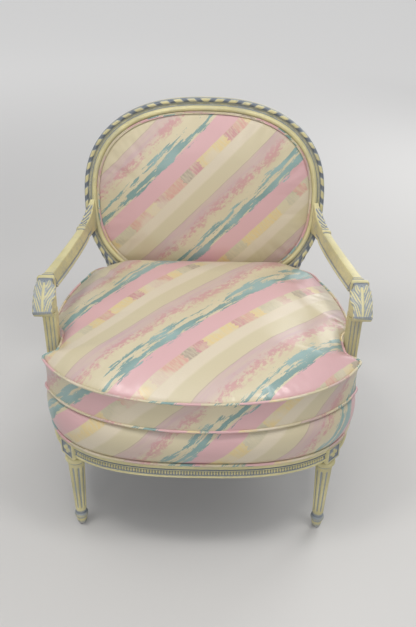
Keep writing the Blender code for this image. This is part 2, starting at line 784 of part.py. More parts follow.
def rear_brace():
    """A brace across the rear corner, from the side rail to the rear rail, with its screw's line."""
    rail_face = REAR_RAIL_FRONT_Y - GAP
    leg_corner = Vector((REAR_LEG_X - REAR_LEG_WIDTH / 2, REAR_LEG_FRONT_Y))
    rail_corner = inner_point(plan_degrees_at_y(REAR_LEG_Y), 0.0)
    inward = Vector((-1.0, -1.0)).normalized()
    corner = max((leg_corner, rail_corner), key=lambda point: point.dot(inward))

    def depth(degrees):
        return (inner_point(degrees, BRACE_CLEARANCE) - corner).dot(inward)

    points = []
    for distance in (GAP, GAP + BRACE_WIDTH):
        side_deg = bisect(plan_degrees_at_y(REAR_LEG_Y), 5.0, lambda deg, far=distance: depth(deg) < far)
        rear_x = corner.x + corner.y - rail_face - distance * math.sqrt(2)
        points.append((inner_point(side_deg, BRACE_CLEARANCE), Vector((rear_x, rail_face))))
    (near_side, near_rear), (far_side, far_rear) = points
    reach = (corner - leg_corner).dot(inward) + GAP + BRACE_WIDTH
    beside_rail = Vector((-inward.y, inward.x)) * (SCREW_RADIUS + GAP)
    start = leg_corner + inward * reach + beside_rail
    return [far_side, near_side, near_rear, far_rear], start, -inward, reach


def screw_profile(shank_length):
    """A pan-head screw along its own Z: the tip on top, the head under the origin."""
    return (
        (0.0, shank_length),
        (SCREW_RADIUS, shank_length - SCREW_POINT),
        (SCREW_RADIUS, 0.0),
        (SCREW_HEAD_RADIUS, -GAP),
        (SCREW_HEAD_RADIUS, -SCREW_HEAD_HEIGHT * 0.5),
        (SCREW_HEAD_RADIUS * 0.6, -SCREW_HEAD_HEIGHT),
        (0.0, -SCREW_HEAD_HEIGHT),
    )


def screw_hole(length):
    """Room for a screw's shank along Z, open on the head's side."""
    bm = bmesh.new()
    radius = SCREW_RADIUS + GAP
    head_room = SCREW_HEAD_HEIGHT
    matrix = Matrix.Translation((0.0, 0.0, (length - head_room) / 2))
    bmesh.ops.create_cone(
        bm, cap_ends=True, segments=SCREW_STEPS, radius1=radius, radius2=radius,
        depth=length + head_room, matrix=matrix)
    return bm


def build_corner_braces(front_legs, rear_legs, side_rails):
    low_z = RAIL_BOTTOM_Z + (RAIL_HEIGHT - BRACE_HEIGHT) / 2
    corners = (("front", front_brace(), front_legs), ("rear", rear_brace(), rear_legs))
    for end, (outline, start, drive, reach), legs in corners:
        length = reach + SCREW_BITE
        for side_name, side in SIDES:
            points = [(side * p.x, p.y) for p in outline]
            name = f"corner_brace_{end}_{side_name}"
            brace = add_piece(name, prism(points, low_z, low_z + BRACE_HEIGHT), BARE_BEECH, CHAIR)
            screw_name = f"brace_screw_{end}_{side_name}"
            screw = turned_piece(screw_name, screw_profile(length), SCREW_STEPS, ZINC_STEEL, CHAIR)
            hole = add_cutter(f"screw_hole_{end}_{side_name}", screw_hole(length + GAP), CHAIR)
            for thing in (screw, hole):
                thing.location = (side * start.x, start.y, low_z + BRACE_HEIGHT / 2)
                thing.rotation_euler = (0.0, math.pi / 2, math.atan2(drive.y, side * drive.x))
            combine(brace, hole)
            combine(legs[side], hole)
            if end == "rear":
                combine(side_rails[side], hole)


# Oval back frame
def oval_profile():
    """Section of the oval from its outer edge inwards; (inset, depth) points, front at depth 0."""
    cove = RIBBON_WIDTH
    bead = RIBBON_WIDTH + COVE_WIDTH
    step = MOULDING_WIDTH
    inner = MOULDING_WIDTH + RABBET_WIDTH
    rear = OVAL_DEPTH - REAR_RABBET_DEPTH
    return (
        (0.0, RIBBON_WIDTH * 0.6),
        (RIBBON_WIDTH * 0.18, 0.0005),
        (RIBBON_WIDTH * 0.5, -MOULDING_PROUD),
        (RIBBON_WIDTH * 0.82, 0.0005),
        (cove, RIBBON_WIDTH * 0.4),
        (cove + COVE_WIDTH * 0.45, RIBBON_WIDTH * 0.6),
        (bead, RIBBON_WIDTH * 0.35),
        (bead + BEAD_WIDTH * 0.2, -MOULDING_PROUD * 0.4),
        (bead + BEAD_WIDTH * 0.5, -MOULDING_PROUD),
        (bead + BEAD_WIDTH * 0.85, -MOULDING_PROUD * 0.4),
        (step, RIBBON_WIDTH * 0.3),
        (step, RABBET_DEPTH),
        (inner, RABBET_DEPTH),
        (inner, rear),
        (step - REAR_RABBET_LIP, rear),
        (step - REAR_RABBET_LIP, OVAL_DEPTH),
        (OVAL_REAR_EDGE, OVAL_DEPTH),
        (0.0, OVAL_DEPTH - OVAL_REAR_EDGE),
    )


def oval_length(name, start_deg, end_deg, count):
    """One length of the oval, each end drawn back half a gap from the joint."""
    points = oval_curve(start_deg, end_deg, count)
    points[0] += (points[1] - points[0]).normalized() * GAP / 2
    points[-1] += (points[-2] - points[-1]).normalized() * GAP / 2
    rings = []
    for point in points:
        normal = oval_normal(point)
        ring = []
        for inset, depth in oval_profile():
            place = point - normal * inset
            ring.append((place.x, depth, place.y))
        rings.append(ring)
    add_piece(name, loft(rings), CREAM_PAINT, BACK_TILT)


def build_oval_back():
    for name, start_deg, end_deg, count in oval_lengths():
        oval_length(name, start_deg, end_deg, count)


# Arms and posts
def post_ring(width, z, depth=0.0):
    """A square section with grooves cut in each face."""
    half = width / 2
    groove = 0.8 / (3 * POST_GROOVES)
    stops = [(-1.0, 0.0)]
    for index in range(POST_GROOVES):
        middle = -1 + 2 * (index + 0.5) / POST_GROOVES
        stops += [(middle - groove * 1.5, 0.0), (middle, depth), (middle + groove * 1.5, 0.0)]
    ring = []
    for face in range(4):
        turn = Matrix.Rotation(face * math.pi / 2, 2)
        for share, sunk in stops:
            place = turn @ Vector((share * half, -half + sunk))
            ring.append((place.x, place.y, z))
    return ring


def build_arm_posts():
    low = RAIL_TOP_Z + GAP
    high = POST_TOP_Z
    run_out = 0.008
    plain_foot = 0.012
    plain_head = 0.006
    stations = (
        (low, 0.0), (low + plain_foot, 0.0), (low + plain_foot + run_out, POST_GROOVE_DEPTH),
        (high - plain_head - run_out, POST_GROOVE_DEPTH), (high - plain_head, 0.0), (high, 0.0),
    )
    rings = []
    for z, depth in stations:
        width = mix(POST_FOOT_WIDTH, POST_TOP_WIDTH, (z - low) / (high - low))
        rings.append(post_ring(width, z, depth))
    for side_name, side in SIDES:
        post = add_piece(f"arm_post_{side_name}", loft(rings), CREAM_PAINT, CHAIR, 25.0)
        post.location = (side * POST_X, POST_Y, 0.0)


def arm_ring(x, width, top, bottom, y_at):
    """A rounded oblong section of the arm; y_at gives the section's depth at a height."""
    half = width / 2
    radius = min(half, (top - bottom) / 2) * 0.45
    corners = (
        (half - radius, top - radius, 0.0), (-half + radius, top - radius, 90.0),
        (-half + radius, bottom + radius, 180.0), (half - radius, bottom + radius, 270.0),
    )
    ring = []
    for across, z, start in corners:
        for turn in (0.0, 45.0, 90.0):
            angle = math.radians(start + turn)
            height = z + radius * math.sin(angle)
            ring.append((x + across + radius * math.cos(angle), y_at(height), height))
    return ring


def arm_rings():
    """Sections of the right arm from the stile to the scroll's lip."""
    stile_x = oval_half_width_at(ARM_TOP_Z) - MOULDING_WIDTH / 2
    front_x = POST_X + ARM_FRONT_OUTSET
    low_z = ARM_TOP_Z - ARM_DEPTH
    seat_on_stile = (MOULDING_PROUD + GAP) / math.cos(RAKE)
    start_y = back_plane_y(ARM_TOP_Z) - seat_on_stile
    rear_x = mix(stile_x, front_x, 0.19)
    under_z = POST_TOP_Z + GAP
    lip_y = POST_Y - SCROLL_REACH

    rings = [arm_ring(
        stile_x, ARM_REAR_WIDTH, ARM_TOP_Z + SHOULDER_RISE, low_z - SHOULDER_DROP,
        lambda z: back_plane_y(z) - seat_on_stile,
    )]

    def add(x, y, width, top, bottom):
        rings.append(arm_ring(x, width, top, bottom, lambda z: y))

    def collar(x, y, width):
        for step, proud in ((0.5, 0.0), (0.35, 1.0), (-0.35, 1.0), (-0.5, 0.0)):
            swell = ARM_COLLAR_PROUD * proud
            add(x, y + step * ARM_COLLAR_LENGTH, width + 2 * swell, ARM_TOP_Z + swell, low_z)

    for share in (0.3, 0.55, 0.8):
        y = mix(start_y, ARM_REAR_COLLAR_Y + ARM_COLLAR_LENGTH, share)
        sweep = (1 - share) ** 2
        add(mix(stile_x, rear_x, share), y, ARM_REAR_WIDTH,
            ARM_TOP_Z + SHOULDER_RISE * sweep, low_z - SHOULDER_DROP * (1 - share))
    collar(rear_x, ARM_REAR_COLLAR_Y, ARM_REAR_WIDTH)
    for share in (0.3, 0.65):
        bow = 0.004 * math.sin(math.pi * share)
        add(mix(rear_x, front_x, share) + bow, mix(ARM_REAR_COLLAR_Y, ARM_FRONT_COLLAR_Y, share),
            mix(ARM_REAR_WIDTH, ARM_FRONT_WIDTH, share), ARM_TOP_Z, low_z)
    collar(front_x, ARM_FRONT_COLLAR_Y, ARM_FRONT_WIDTH)

    scroll_y = ARM_FRONT_COLLAR_Y - ARM_COLLAR_LENGTH
    scroll_x = POST_X + ARM_FRONT_OUTSET * 0.8
    lip_rise = 0.012
    for share, fall, width_share in (
        (0.12, 0.02, 0.25), (0.35, 0.12, 0.8), (0.6, 0.34, 1.0), (0.8, 0.6, 1.0), (0.94, 0.86, 0.9), (1.0, 1.0, 0.8),
    ):
        top = mix(ARM_TOP_Z, under_z + lip_rise, fall)
        bottom = mix(low_z, under_z, min(1.0, share / 0.3))
        if share > 0.9:
            bottom += lip_rise * 0.3 * (share - 0.9) / 0.1
        width = mix(ARM_FRONT_WIDTH, ARM_LEAF_WIDTH, width_share)
        add(mix(front_x, scroll_x, share), mix(scroll_y, lip_y, share), width, top, bottom)
    return rings


def build_arms():
    for side_name, side in SIDES:
        rings = [[(side * x, y, z) for x, y, z in ring] for ring in arm_rings()]
        add_piece(f"arm_{side_name}", loft(rings), CREAM_PAINT, CHAIR)


# Seat upholstery
def deck_outline():
    """The deck's plan: over the rails all round, a little short of the rear rail's back."""
    return seat_outline(DECK_SECTIONS, REAR_RAIL_FRONT_Y + RAIL_THICKNESS - DECK_REAR_SETBACK)


def deck_rear_limit(z):
    """How far back the deck may reach: it slopes away under the oval's lower edge."""
    oval_low_z = OVAL_CENTRE_Z - OVAL_HALF_HEIGHT * math.cos(RAKE) - OVAL_DEPTH * math.sin(RAKE)
    if z < oval_low_z - DECK_REAR_GAP:
        return math.inf
    return back_plane_y(z) - MOULDING_PROUD - DECK_REAR_GAP


def build_spring_deck():
    """The upholstered spring edge and deck: a thick padded cap over the springs, open underneath."""
    outline = deck_outline()
    low = RAIL_TOP_Z + GAP
    high = DECK_TOP_Z
    inner_high = high - DECK_PAD
    centre = Vector((0.0, SEAT_WIDEST_Y))

    def ring(distance, z):
        limit = deck_rear_limit(z)
        return [(p.x, min(p.y, limit), z) for p in offset(outline, distance)]

    def shrunk(distance, share, z):
        return [(*centre.lerp(Vector((x, y)), share), z) for x, y, z in ring(distance, z)]

    inside = -DECK_EDGE_WIDTH
    rings = [
        shrunk(inside, 0.5, inner_high),
        ring(inside, inner_high),
        ring(inside, low),
        ring(-WELT_RADIUS, low),
        ring(WELT_RADIUS * 0.6, low + WELT_RADIUS * 0.8),
        ring(-WELT_RADIUS * 0.6, low + WELT_RADIUS * 2.0),
        ring(DECK_BULGE * 0.55, low + DECK_HEIGHT * 0.24),
        ring(DECK_BULGE, low + DECK_HEIGHT * 0.5),
        ring(DECK_BULGE * 0.7, low + DECK_HEIGHT * 0.74),
        ring(-DECK_BULGE * 0.2, low + DECK_HEIGHT * 0.92),
        ring(-DECK_BULGE * 1.6, high),
        shrunk(-DECK_BULGE * 1.6, 0.5, high),
    ]
    bm = domed_loft((*centre, inner_high), rings, (*centre, high))
    deck = add_piece("spring_deck", bm, STRIPED_COTTON, CHAIR)
    clear = POST_TOP_WIDTH / 2 + DECK_NOTCH_CLEARANCE
    for side_name, side in SIDES:
        room = box((-clear, -clear, low - 0.02), (0.08, clear, high + 0.02))
        notch = add_cutter(f"post_notch_{side_name}", room, CHAIR)
        notch.location = (side * POST_X, POST_Y, 0.0)
        notch.rotation_euler.z = 0.0 if side == RIGHT else math.pi
        combine(deck, notch)
        grown = rear_leg_rings(DECK_NOTCH_CLEARANCE)
        rings = [[(side * x, y, z) for x, y, z in ring] for ring in grown]
        combine(deck, add_cutter(f"upright_notch_{side_name}", loft(rings), CHAIR))


def under_rail_outline(count, inset):
    return offset(seat_outline(count, REAR_LEG_Y), -inset)


def build_webbing_and_dust_cover(block_rooms, rear_leg_rooms):
    """Jute strips across the underside of the rails, and the cloth that hides them."""
    tack_inset = RAIL_THICKNESS * 0.5
    web_top = RAIL_BOTTOM_Z - GAP
    web_low = web_top - CLOTH_THICKNESS
    reach = SEAT_HALF_WIDTH + 0.1
    webbing = None
    half = WEB_WIDTH / 2
    for index in range(WEB_STRIPS):
        shift = index - (WEB_STRIPS - 1) / 2
        across = WEB_MIDDLE_Y + shift * WEB_STEP_Y
        long_strip = box(
            (shift * WEB_STEP_X - half, -reach, web_low), (shift * WEB_STEP_X + half, 2 * reach, web_top))
        cross_strip = box((-reach, across - half, web_low), (reach, across + half, web_top))
        for strip_name, strip in (("long", long_strip), ("cross", cross_strip)):
            if webbing is None:
                webbing = add_piece("seat_webbing", strip, JUTE, CHAIR)
            else:
                combine(webbing, add_cutter(f"web_{strip_name}_{index}", strip, CHAIR), "UNION")
    room = 0.01
    bounds = prism(under_rail_outline(40, tack_inset), web_low - room, web_top + room)
    combine(webbing, add_cutter("webbing_bounds", bounds, CHAIR), "INTERSECT")
    cloth_top = web_low - GAP
    cover_bm = prism(under_rail_outline(48, tack_inset * 0.8), cloth_top - CLOTH_THICKNESS, cloth_top)
    cover = add_piece("dust_cover", cover_bm, BLACK_CAMBRIC, CHAIR)
    for rooms in (block_rooms, rear_leg_rooms):
        for cutter in rooms.values():
            combine(webbing, cutter)
            combine(cover, cutter)


def spring_points(low, high):
    points = []
    per_turn = 6
    steps = SPRING_TURNS * per_turn
    flat = 0.5 * per_turn
    for step in range(steps + 1):
        share = step / steps
        climb = min(1.0, max(0.0, (step - flat) / (steps - 2 * flat)))
        radius = mix(SPRING_WAIST_RADIUS, SPRING_END_RADIUS, abs(2 * share - 1) ** 1.5)
        angle = 2 * math.pi * step / per_turn
        points.append((radius * math.cos(angle), radius * math.sin(angle), mix(low, high, climb)))
    return points


def build_springs_and_burlap():
    burlap_high = DECK_TOP_Z - DECK_PAD - GAP
    burlap_low = burlap_high - CLOTH_THICKNESS
    outline = offset(deck_outline(), -DECK_EDGE_WIDTH - GAP)
    add_piece("spring_burlap", prism(outline, burlap_low, burlap_high), BURLAP, CHAIR)
    low = RAIL_BOTTOM_Z + SPRING_WIRE_RADIUS
    high = burlap_low - GAP - SPRING_WIRE_RADIUS
    points = spring_points(low, high)
    number = 0
    for row in range(WEB_STRIPS):
        for column in range(WEB_STRIPS):
            number += 1
            curve = bpy.data.curves.new(f"seat_spring_{number}", "CURVE")
            curve.dimensions = "3D"
            curve.bevel_depth = SPRING_WIRE_RADIUS
            curve.bevel_resolution = 0
            curve.use_fill_caps = True
            spline = curve.splines.new("POLY")
            spline.points.add(len(points) - 1)
            for knot, point in zip(spline.points, points):
                knot.co = (*point, 1.0)
            spring = bpy.data.objects.new(f"seat_spring_{number}", curve)
            spring.parent = CHAIR
            middle = (WEB_STRIPS - 1) / 2
            spring.location = ((column - middle) * WEB_STEP_X, WEB_MIDDLE_Y + (row - middle) * WEB_STEP_Y, 0.0)
            curve.materials.append(finish_material(spring.name, SPRING_STEEL))
            PARTS.objects.link(spring)


# Loose T cushion
def cushion_rear_y():
    """The rear welt line at the cushion's underside; higher up it leans with the back."""
    return back_plane_y(DECK_TOP_Z) - CUSHION_REAR_GAP


def lean_back(x, y, z):
    """Leans the rear of the cushion with the back; the front and sides stay upright."""
    share = min(1.0, max(0.0, (y - SEAT_WIDEST_Y) / (cushion_rear_y() - SEAT_WIDEST_Y)))
    return (x, y + (z - DECK_TOP_Z) * math.tan(RAKE) * share * share, z)


def cushion_outline():
    """Right half of the welt line from the front middle to the rear middle, then its mirror image."""
    half_width = SEAT_HALF_WIDTH + CUSHION_EAR_OVERHANG
    front_reach = SEAT_FRONT_REACH + CUSHION_FRONT_OVERHANG
    ear_share = (SEAT_WIDEST_Y - CUSHION_EAR_Y) / front_reach
    ear_x = half_width * (1 - ear_share ** CUSHION_FRONT_FULLNESS) ** (1 / CUSHION_FRONT_FULLNESS)
    dense = []
    steps = 200
    for step in range(steps + 1):
        angle = math.pi / 2 * (1 - step / steps)
        x = half_width * math.cos(angle) ** (2 / CUSHION_FRONT_FULLNESS)
        if x <= ear_x:
            y = SEAT_WIDEST_Y - front_reach * math.sin(angle) ** (2 / CUSHION_FRONT_FULLNESS)
            dense.append(Vector((x, y)))
    half = evenly(dense, 11)
    bay_x = POST_X - POST_TOP_WIDTH / 2 - CUSHION_BAY_CLEARANCE
    bay_front = POST_Y - CUSHION_BAY_LENGTH / 2
    bay_rear = POST_Y + CUSHION_BAY_LENGTH / 2
    side_x = plan_half_width(bay_rear) - CUSHION_SIDE_INSET
    half += [
        Vector((ear_x - 0.003, CUSHION_EAR_Y + 0.004)),
        Vector((mix(ear_x, bay_x, 0.55), mix(CUSHION_EAR_Y, bay_front, 0.75))),
        Vector((mix(ear_x, bay_x, 0.92), bay_front + 0.004)),
        Vector((bay_x, mix(bay_front, bay_rear, 0.3))),
        Vector((bay_x, mix(bay_front, bay_rear, 0.72))),
        Vector((mix(bay_x, side_x, 0.12), mix(bay_front, bay_rear, 0.9))),
        Vector((mix(bay_x, side_x, 0.75), bay_rear + 0.010)),
    ]
    rear_y = cushion_rear_y()
    corner_y = rear_y - CUSHION_REAR_CORNER
    for share in (0.14, 0.4, 0.7, 1.0):
        y = mix(bay_rear, corner_y, share)
        half.append(Vector((plan_half_width(y) - CUSHION_SIDE_INSET, y)))
    corner_x = half[-1].x
    for degrees in (25.0, 50.0, 75.0):
        angle = math.radians(degrees)
        turn_in = CUSHION_REAR_CORNER * (1 - math.cos(angle)) * 1.3
        half.append(Vector((corner_x - turn_in, corner_y + CUSHION_REAR_CORNER * math.sin(angle))))
    straight_x = ZIPPER_LENGTH / 2 + 0.01
    half.append(Vector((mix(half[-1].x, straight_x, 0.5), rear_y)))
    half.append(Vector((straight_x, rear_y)))
    half.append(Vector((0.0, rear_y)))
    mirrored = [Vector((-p.x, p.y)) for p in reversed(half[1:-1])]
    return half + mirrored


def rear_share(y):
    """0 in front of the line where the cushion starts to rise towards the back, 1 near the back."""
    share = min(1.0, max(0.0, (y - CUSHION_REAR_RISE_Y) / CUSHION_REAR_RISE_LENGTH))
    return share * share * (3 - 2 * share)


def plain_outline(points):
    """The cushion's outline with its bays and ears smoothed away, for the inner rings of the crown."""
    smooth = [p.copy() for p in points]
    for _ in range(60):
        smooth = [
            (smooth[i - 1] + smooth[i] * 2 + smooth[(i + 1) % len(smooth)]) / 4 for i in range(len(smooth))
        ]
    return smooth


def build_cushion(cushion_lift):
    outline = cushion_outline()
    plain = plain_outline(outline)
    centre = Vector((0.0, mix(SEAT_WIDEST_Y - SEAT_FRONT_REACH, cushion_rear_y(), 0.5)))
    low = DECK_TOP_Z + GAP
    high = low + CUSHION_BOX_HEIGHT

    def ring(distance, z):
        return [lean_back(p.x, p.y, z) for p in offset(outline, distance)]

    def crown_ring(share, rise, rear_rise, blend):
        """A ring of the crown; it rises faster near the back, where the cushion is pressed up."""
        ring_points = []
        for a, b in zip(outline, plain):
            place = centre.lerp(a.lerp(b, blend), share)
            ring_points.append(lean_back(*place, high + CUSHION_CROWN * mix(rise, rear_rise, rear_share(place.y))))
        return ring_points

    def low_ring(share):
        return [lean_back(*centre.lerp(p, share), low) for p in plain]

    def boxing(share):
        return mix(low, high, share)

    draw = -CUSHION_DRAW_IN
    rings = [
        low_ring(0.45),
        low_ring(0.85),
        ring(-CUSHION_EDGE_ROUND, low + WELT_RADIUS * 0.15),
        ring(0.0, low + WELT_RADIUS * 0.3),
        ring(WELT_RADIUS, low + WELT_RADIUS),
        ring(0.0, low + WELT_RADIUS * 2.2),
        ring(draw * 0.8, boxing(0.25)),
        ring(draw, boxing(0.5)),
        ring(draw * 0.8, boxing(0.75)),
        ring(0.0, high - WELT_RADIUS * 2.2),
        ring(WELT_RADIUS, high - WELT_RADIUS),
        ring(0.0, high),
        ring(-CUSHION_EDGE_ROUND, high + CUSHION_CROWN * 0.20),
        crown_ring(0.88, 0.56, 0.86, 0.6),
        crown_ring(0.74, 0.79, 0.98, 1.0),
        crown_ring(0.54, 0.93, 1.0, 1.0),
        crown_ring(0.28, 0.99, 1.0, 1.0),
    ]
    bm = domed_loft((*centre, low), rings, (*centre, high + CUSHION_CROWN))
    add_piece("seat_cushion", bm, STRIPED_COTTON, cushion_lift)

    middle_z = boxing(0.5)
    face_y = lean_back(0.0, cushion_rear_y(), middle_z)[1] - CUSHION_DRAW_IN * 0.8
    zip_line = add_empty("zip_line", (0.0, face_y, middle_z), cushion_lift)
    zip_line.rotation_euler.x = -RAKE
    half_length = ZIPPER_LENGTH / 2
    half_width = ZIPPER_WIDTH / 2
    outer = GAP + ZIPPER_THICKNESS
    zipper = box((-half_length, GAP, -half_width), (half_length, outer, half_width))
    add_piece("cushion_zipper", zipper, NYLON_COIL, zip_line)

    zip_run = add_empty("zip_run", (half_length - SLIDER_WIDTH, outer + GAP, 0.0), zip_line)
    half_slider = SLIDER_WIDTH / 2
    body = box((-half_slider, 0.0, -SLIDER_HEIGHT / 2), (half_slider, SLIDER_THICKNESS, SLIDER_HEIGHT / 2))
    slider = add_piece("zip_slider", body, ZINC_STEEL, zip_run)
    pull_half = SLIDER_WIDTH * 0.3
    pull_low = -SLIDER_HEIGHT / 2 - SLIDER_PULL_LENGTH
    pull = box(
        (-pull_half, SLIDER_THICKNESS * 0.35, pull_low),
        (pull_half, SLIDER_THICKNESS * 0.8, -SLIDER_HEIGHT * 0.3))
    combine(slider, add_cutter("zip_pull", pull, zip_run), "UNION")


# Back upholstery
def build_back_upholstery():
    seat_inset = MOULDING_WIDTH + GAP
    burlap_rear = RABBET_DEPTH - GAP
    burlap_front = burlap_rear - CLOTH_THICKNESS
    pad_rear = burlap_front - GAP
    flange = RABBET_DEPTH * 0.4
    welt_inner = seat_inset + GAP + BACK_WELT_WIDTH

    def ring(inset, depth):
        return [(p.x, depth, p.y) for p in oval_loop(inset)]

    def dome(share, depth):
        return [(p.x * share, depth, p.y * share) for p in oval_loop(welt_inner)]

    burlap = loft([ring(seat_inset + 0.001, depth) for depth in (burlap_front, burlap_rear)])
    add_piece("back_burlap", burlap, BURLAP, BACK_TILT)

    rings = [
        ring(seat_inset, pad_rear),
        ring(seat_inset, flange),
        ring(welt_inner + 0.0005, flange),
        dome(0.97, flange - (flange + BACK_CROWN) * 0.22),
        dome(0.88, flange - (flange + BACK_CROWN) * 0.52),
        dome(0.70, flange - (flange + BACK_CROWN) * 0.78),
        dome(0.42, flange - (flange + BACK_CROWN) * 0.95),
    ]
    pad = domed_loft((0.0, pad_rear, 0.0), rings, (0.0, -BACK_CROWN, 0.0))
    add_piece("back_pad", pad, STRIPED_COTTON, BACK_TILT)

    welt_outer = seat_inset + GAP
    welt_rear = flange - GAP
    high = -BACK_WELT_WIDTH * 0.42
    low = high + BACK_WELT_WIDTH * 0.26
    profile = (
        (0.0, welt_rear), (0.25, high), (0.5, low), (0.75, high), (1.0, welt_rear),
    )
    loops = [ring(mix(welt_outer, welt_inner, share), depth) for share, depth in profile]
    add_piece("back_welt", loft(loops, closed=True), STRIPED_COTTON, BACK_TILT)

    panel_inset = MOULDING_WIDTH - REAR_RABBET_LIP + GAP
    panel_front = OVAL_DEPTH - REAR_RABBET_DEPTH + GAP
    rings = [
        ring(panel_inset, panel_front),
        ring(panel_inset, OVAL_DEPTH - 0.001),
        ring(panel_inset + 0.004, OVAL_DEPTH),
        [(p.x * 0.7, OVAL_DEPTH + OUTSIDE_BACK_CROWN * 0.7, p.y * 0.7) for p in oval_loop(panel_inset)],
    ]
    panel = domed_loft((0.0, panel_front, 0.0), rings, (0.0, OVAL_DEPTH + OUTSIDE_BACK_CROWN, 0.0))
    add_piece("outside_back_panel", panel, STRIPED_COTTON, BACK_TILT)


def centre_on_footprint():
    """Shifts the chair so that the middle of its box lies over the origin."""
    bpy.context.view_layer.update()
    depsgraph = bpy.context.evaluated_depsgraph_get()
    reach = []
    for piece in PARTS.objects:
        if piece.type in {"MESH", "CURVE"}:
            solid = piece.evaluated_get(depsgraph)
            mesh = solid.to_mesh()
            reach += [(solid.matrix_world @ vertex.co).y for vertex in mesh.vertices]
            solid.to_mesh_clear()
    CHAIR.location.y = -(min(reach) + max(reach)) / 2
    bpy.context.view_layer.update()
    print(f"front legs at {CHAIR.location.y + BLOCK_CENTRE.y:.4f}, origin shift {CHAIR.location.y:.4f}")


def main():
    block_rooms = {side: block_cutter(name, side) for name, side in SIDES}
    rear_leg_rooms = {side: rear_leg_cutter(name, side) for name, side in SIDES}
    front_legs = build_front_legs()
    rear_legs = build_rear_legs()
    side_rails = build_seat_rails(block_rooms, rear_leg_rooms)
    build_glides()
    build_corner_braces(front_legs, rear_legs, side_rails)
    build_oval_back()
    build_arm_posts()
    build_arms()
    build_webbing_and_dust_cover(block_rooms, rear_leg_rooms)
    build_springs_and_burlap()
    build_spring_deck()
    cushion_lift = add_empty("cushion_lift", parent=CHAIR)
    build_cushion(cushion_lift)
    build_back_upholstery()
    centre_on_footprint()


main()
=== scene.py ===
# %% [markdown]
# # An oval-back armchair in painted wood and striped cotton
# The frame of this chair is carved beech, painted cream, with a blue-grey wash rubbed into the hollows.
# The seat is a sprung edge with a loose T cushion, and the back is a padded oval. The solids of the chair
# are loaded first. Everything made below sits on them, in metres, with the floor at Z 0 and the chair
# facing -Y.

# %% Load the solids
import math
import time

import bmesh
import bpy
import numpy as np
from mathutils import Matrix, Vector
from mathutils.geometry import delaunay_2d_cdt


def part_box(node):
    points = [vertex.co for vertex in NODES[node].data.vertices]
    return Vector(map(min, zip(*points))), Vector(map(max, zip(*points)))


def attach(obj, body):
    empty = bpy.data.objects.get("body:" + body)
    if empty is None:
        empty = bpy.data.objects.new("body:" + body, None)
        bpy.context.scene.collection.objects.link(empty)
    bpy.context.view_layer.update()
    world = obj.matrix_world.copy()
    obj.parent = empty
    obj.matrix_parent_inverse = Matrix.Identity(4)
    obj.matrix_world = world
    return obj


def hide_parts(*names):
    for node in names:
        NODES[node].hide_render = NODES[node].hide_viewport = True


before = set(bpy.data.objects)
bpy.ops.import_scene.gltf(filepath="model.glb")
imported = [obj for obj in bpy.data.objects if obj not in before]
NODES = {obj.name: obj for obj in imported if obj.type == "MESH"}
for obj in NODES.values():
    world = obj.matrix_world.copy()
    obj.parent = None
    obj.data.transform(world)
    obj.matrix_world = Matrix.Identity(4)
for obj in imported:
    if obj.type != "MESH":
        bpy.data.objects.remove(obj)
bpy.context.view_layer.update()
SCENE = bpy.context.scene

# %% [markdown]
# ## Sizes that the looks share with the solids
# A carved skin only fits its solid when both are drawn from the same numbers. The seat plan is two half
# superellipses, the back is one superellipse that leans by ten degrees. Y is counted from a line near the
# seat's front, and one shift carries it to the chair's own origin.

# %% Shared sizes
SHIFT_Y = float(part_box("front_seat_rail")[0][1]) + 0.066
SEAT_HALF_WIDTH, SEAT_WIDEST_Y = 0.345, 0.170
SEAT_FRONT_REACH, FRONT_FULLNESS = 0.236, 2.75
SEAT_REAR_REACH, REAR_FULLNESS = 0.400, 2.5
RAIL_BOTTOM_Z, RAIL_TOP_Z, RAIL_THICKNESS = 0.2335, 0.2705, 0.028
BLOCK_WIDTH, BLOCK_BOTTOM_Z = 0.044, 0.2255
REAR_LEG_FRONT_Y, REAR_LEG_WIDTH = 0.482, 0.032
RAKE = math.radians(10.0)
BACK_PLANE_Y, BACK_PLANE_Z = 0.510, 0.4635
OVAL_CENTRE_Z, OVAL_HALF_WIDTH, OVAL_HALF_HEIGHT, OVAL_FULLNESS = 0.6135, 0.305, 0.252, 2.4
POST_Y, POST_TOP_Z = 0.150, 0.520
ARM_TOP_Z, ARM_DEPTH = 0.5765, 0.032
DECK_TOP_Z = 0.3648
CUSHION_LOW_Z, CUSHION_HIGH_Z, CUSHION_CROWN = 0.3651, 0.4441, 0.045
GLUE_GAP = 0.0003
SIDES = (("left", -1), ("right", 1))


def mix(a, b, share):
    return a + (b - a) * share


def smooth(low, high, value):
    """0 below low, 1 above high, an S-curve between; works on arrays."""
    t = np.clip((np.asarray(value, float) - low) / (high - low), 0, 1)
    return t * t * (3 - 2 * t)


def fade(low, high, value):
    return 1 - smooth(low, high, value)


def power(value, exponent):
    return np.sign(value) * np.abs(value) ** exponent


def unit(vectors):
    return vectors / np.linalg.norm(vectors, axis=-1, keepdims=True)


print("front of the seat plan at world y", round(SHIFT_Y, 4))

# %% [markdown]
# ## The camera
# The chair is seen from the front and above, as a standing person sees it, through a normal lens. The lens
# is given in pixels of the picture's height, so the chair keeps its place in a picture of any size.

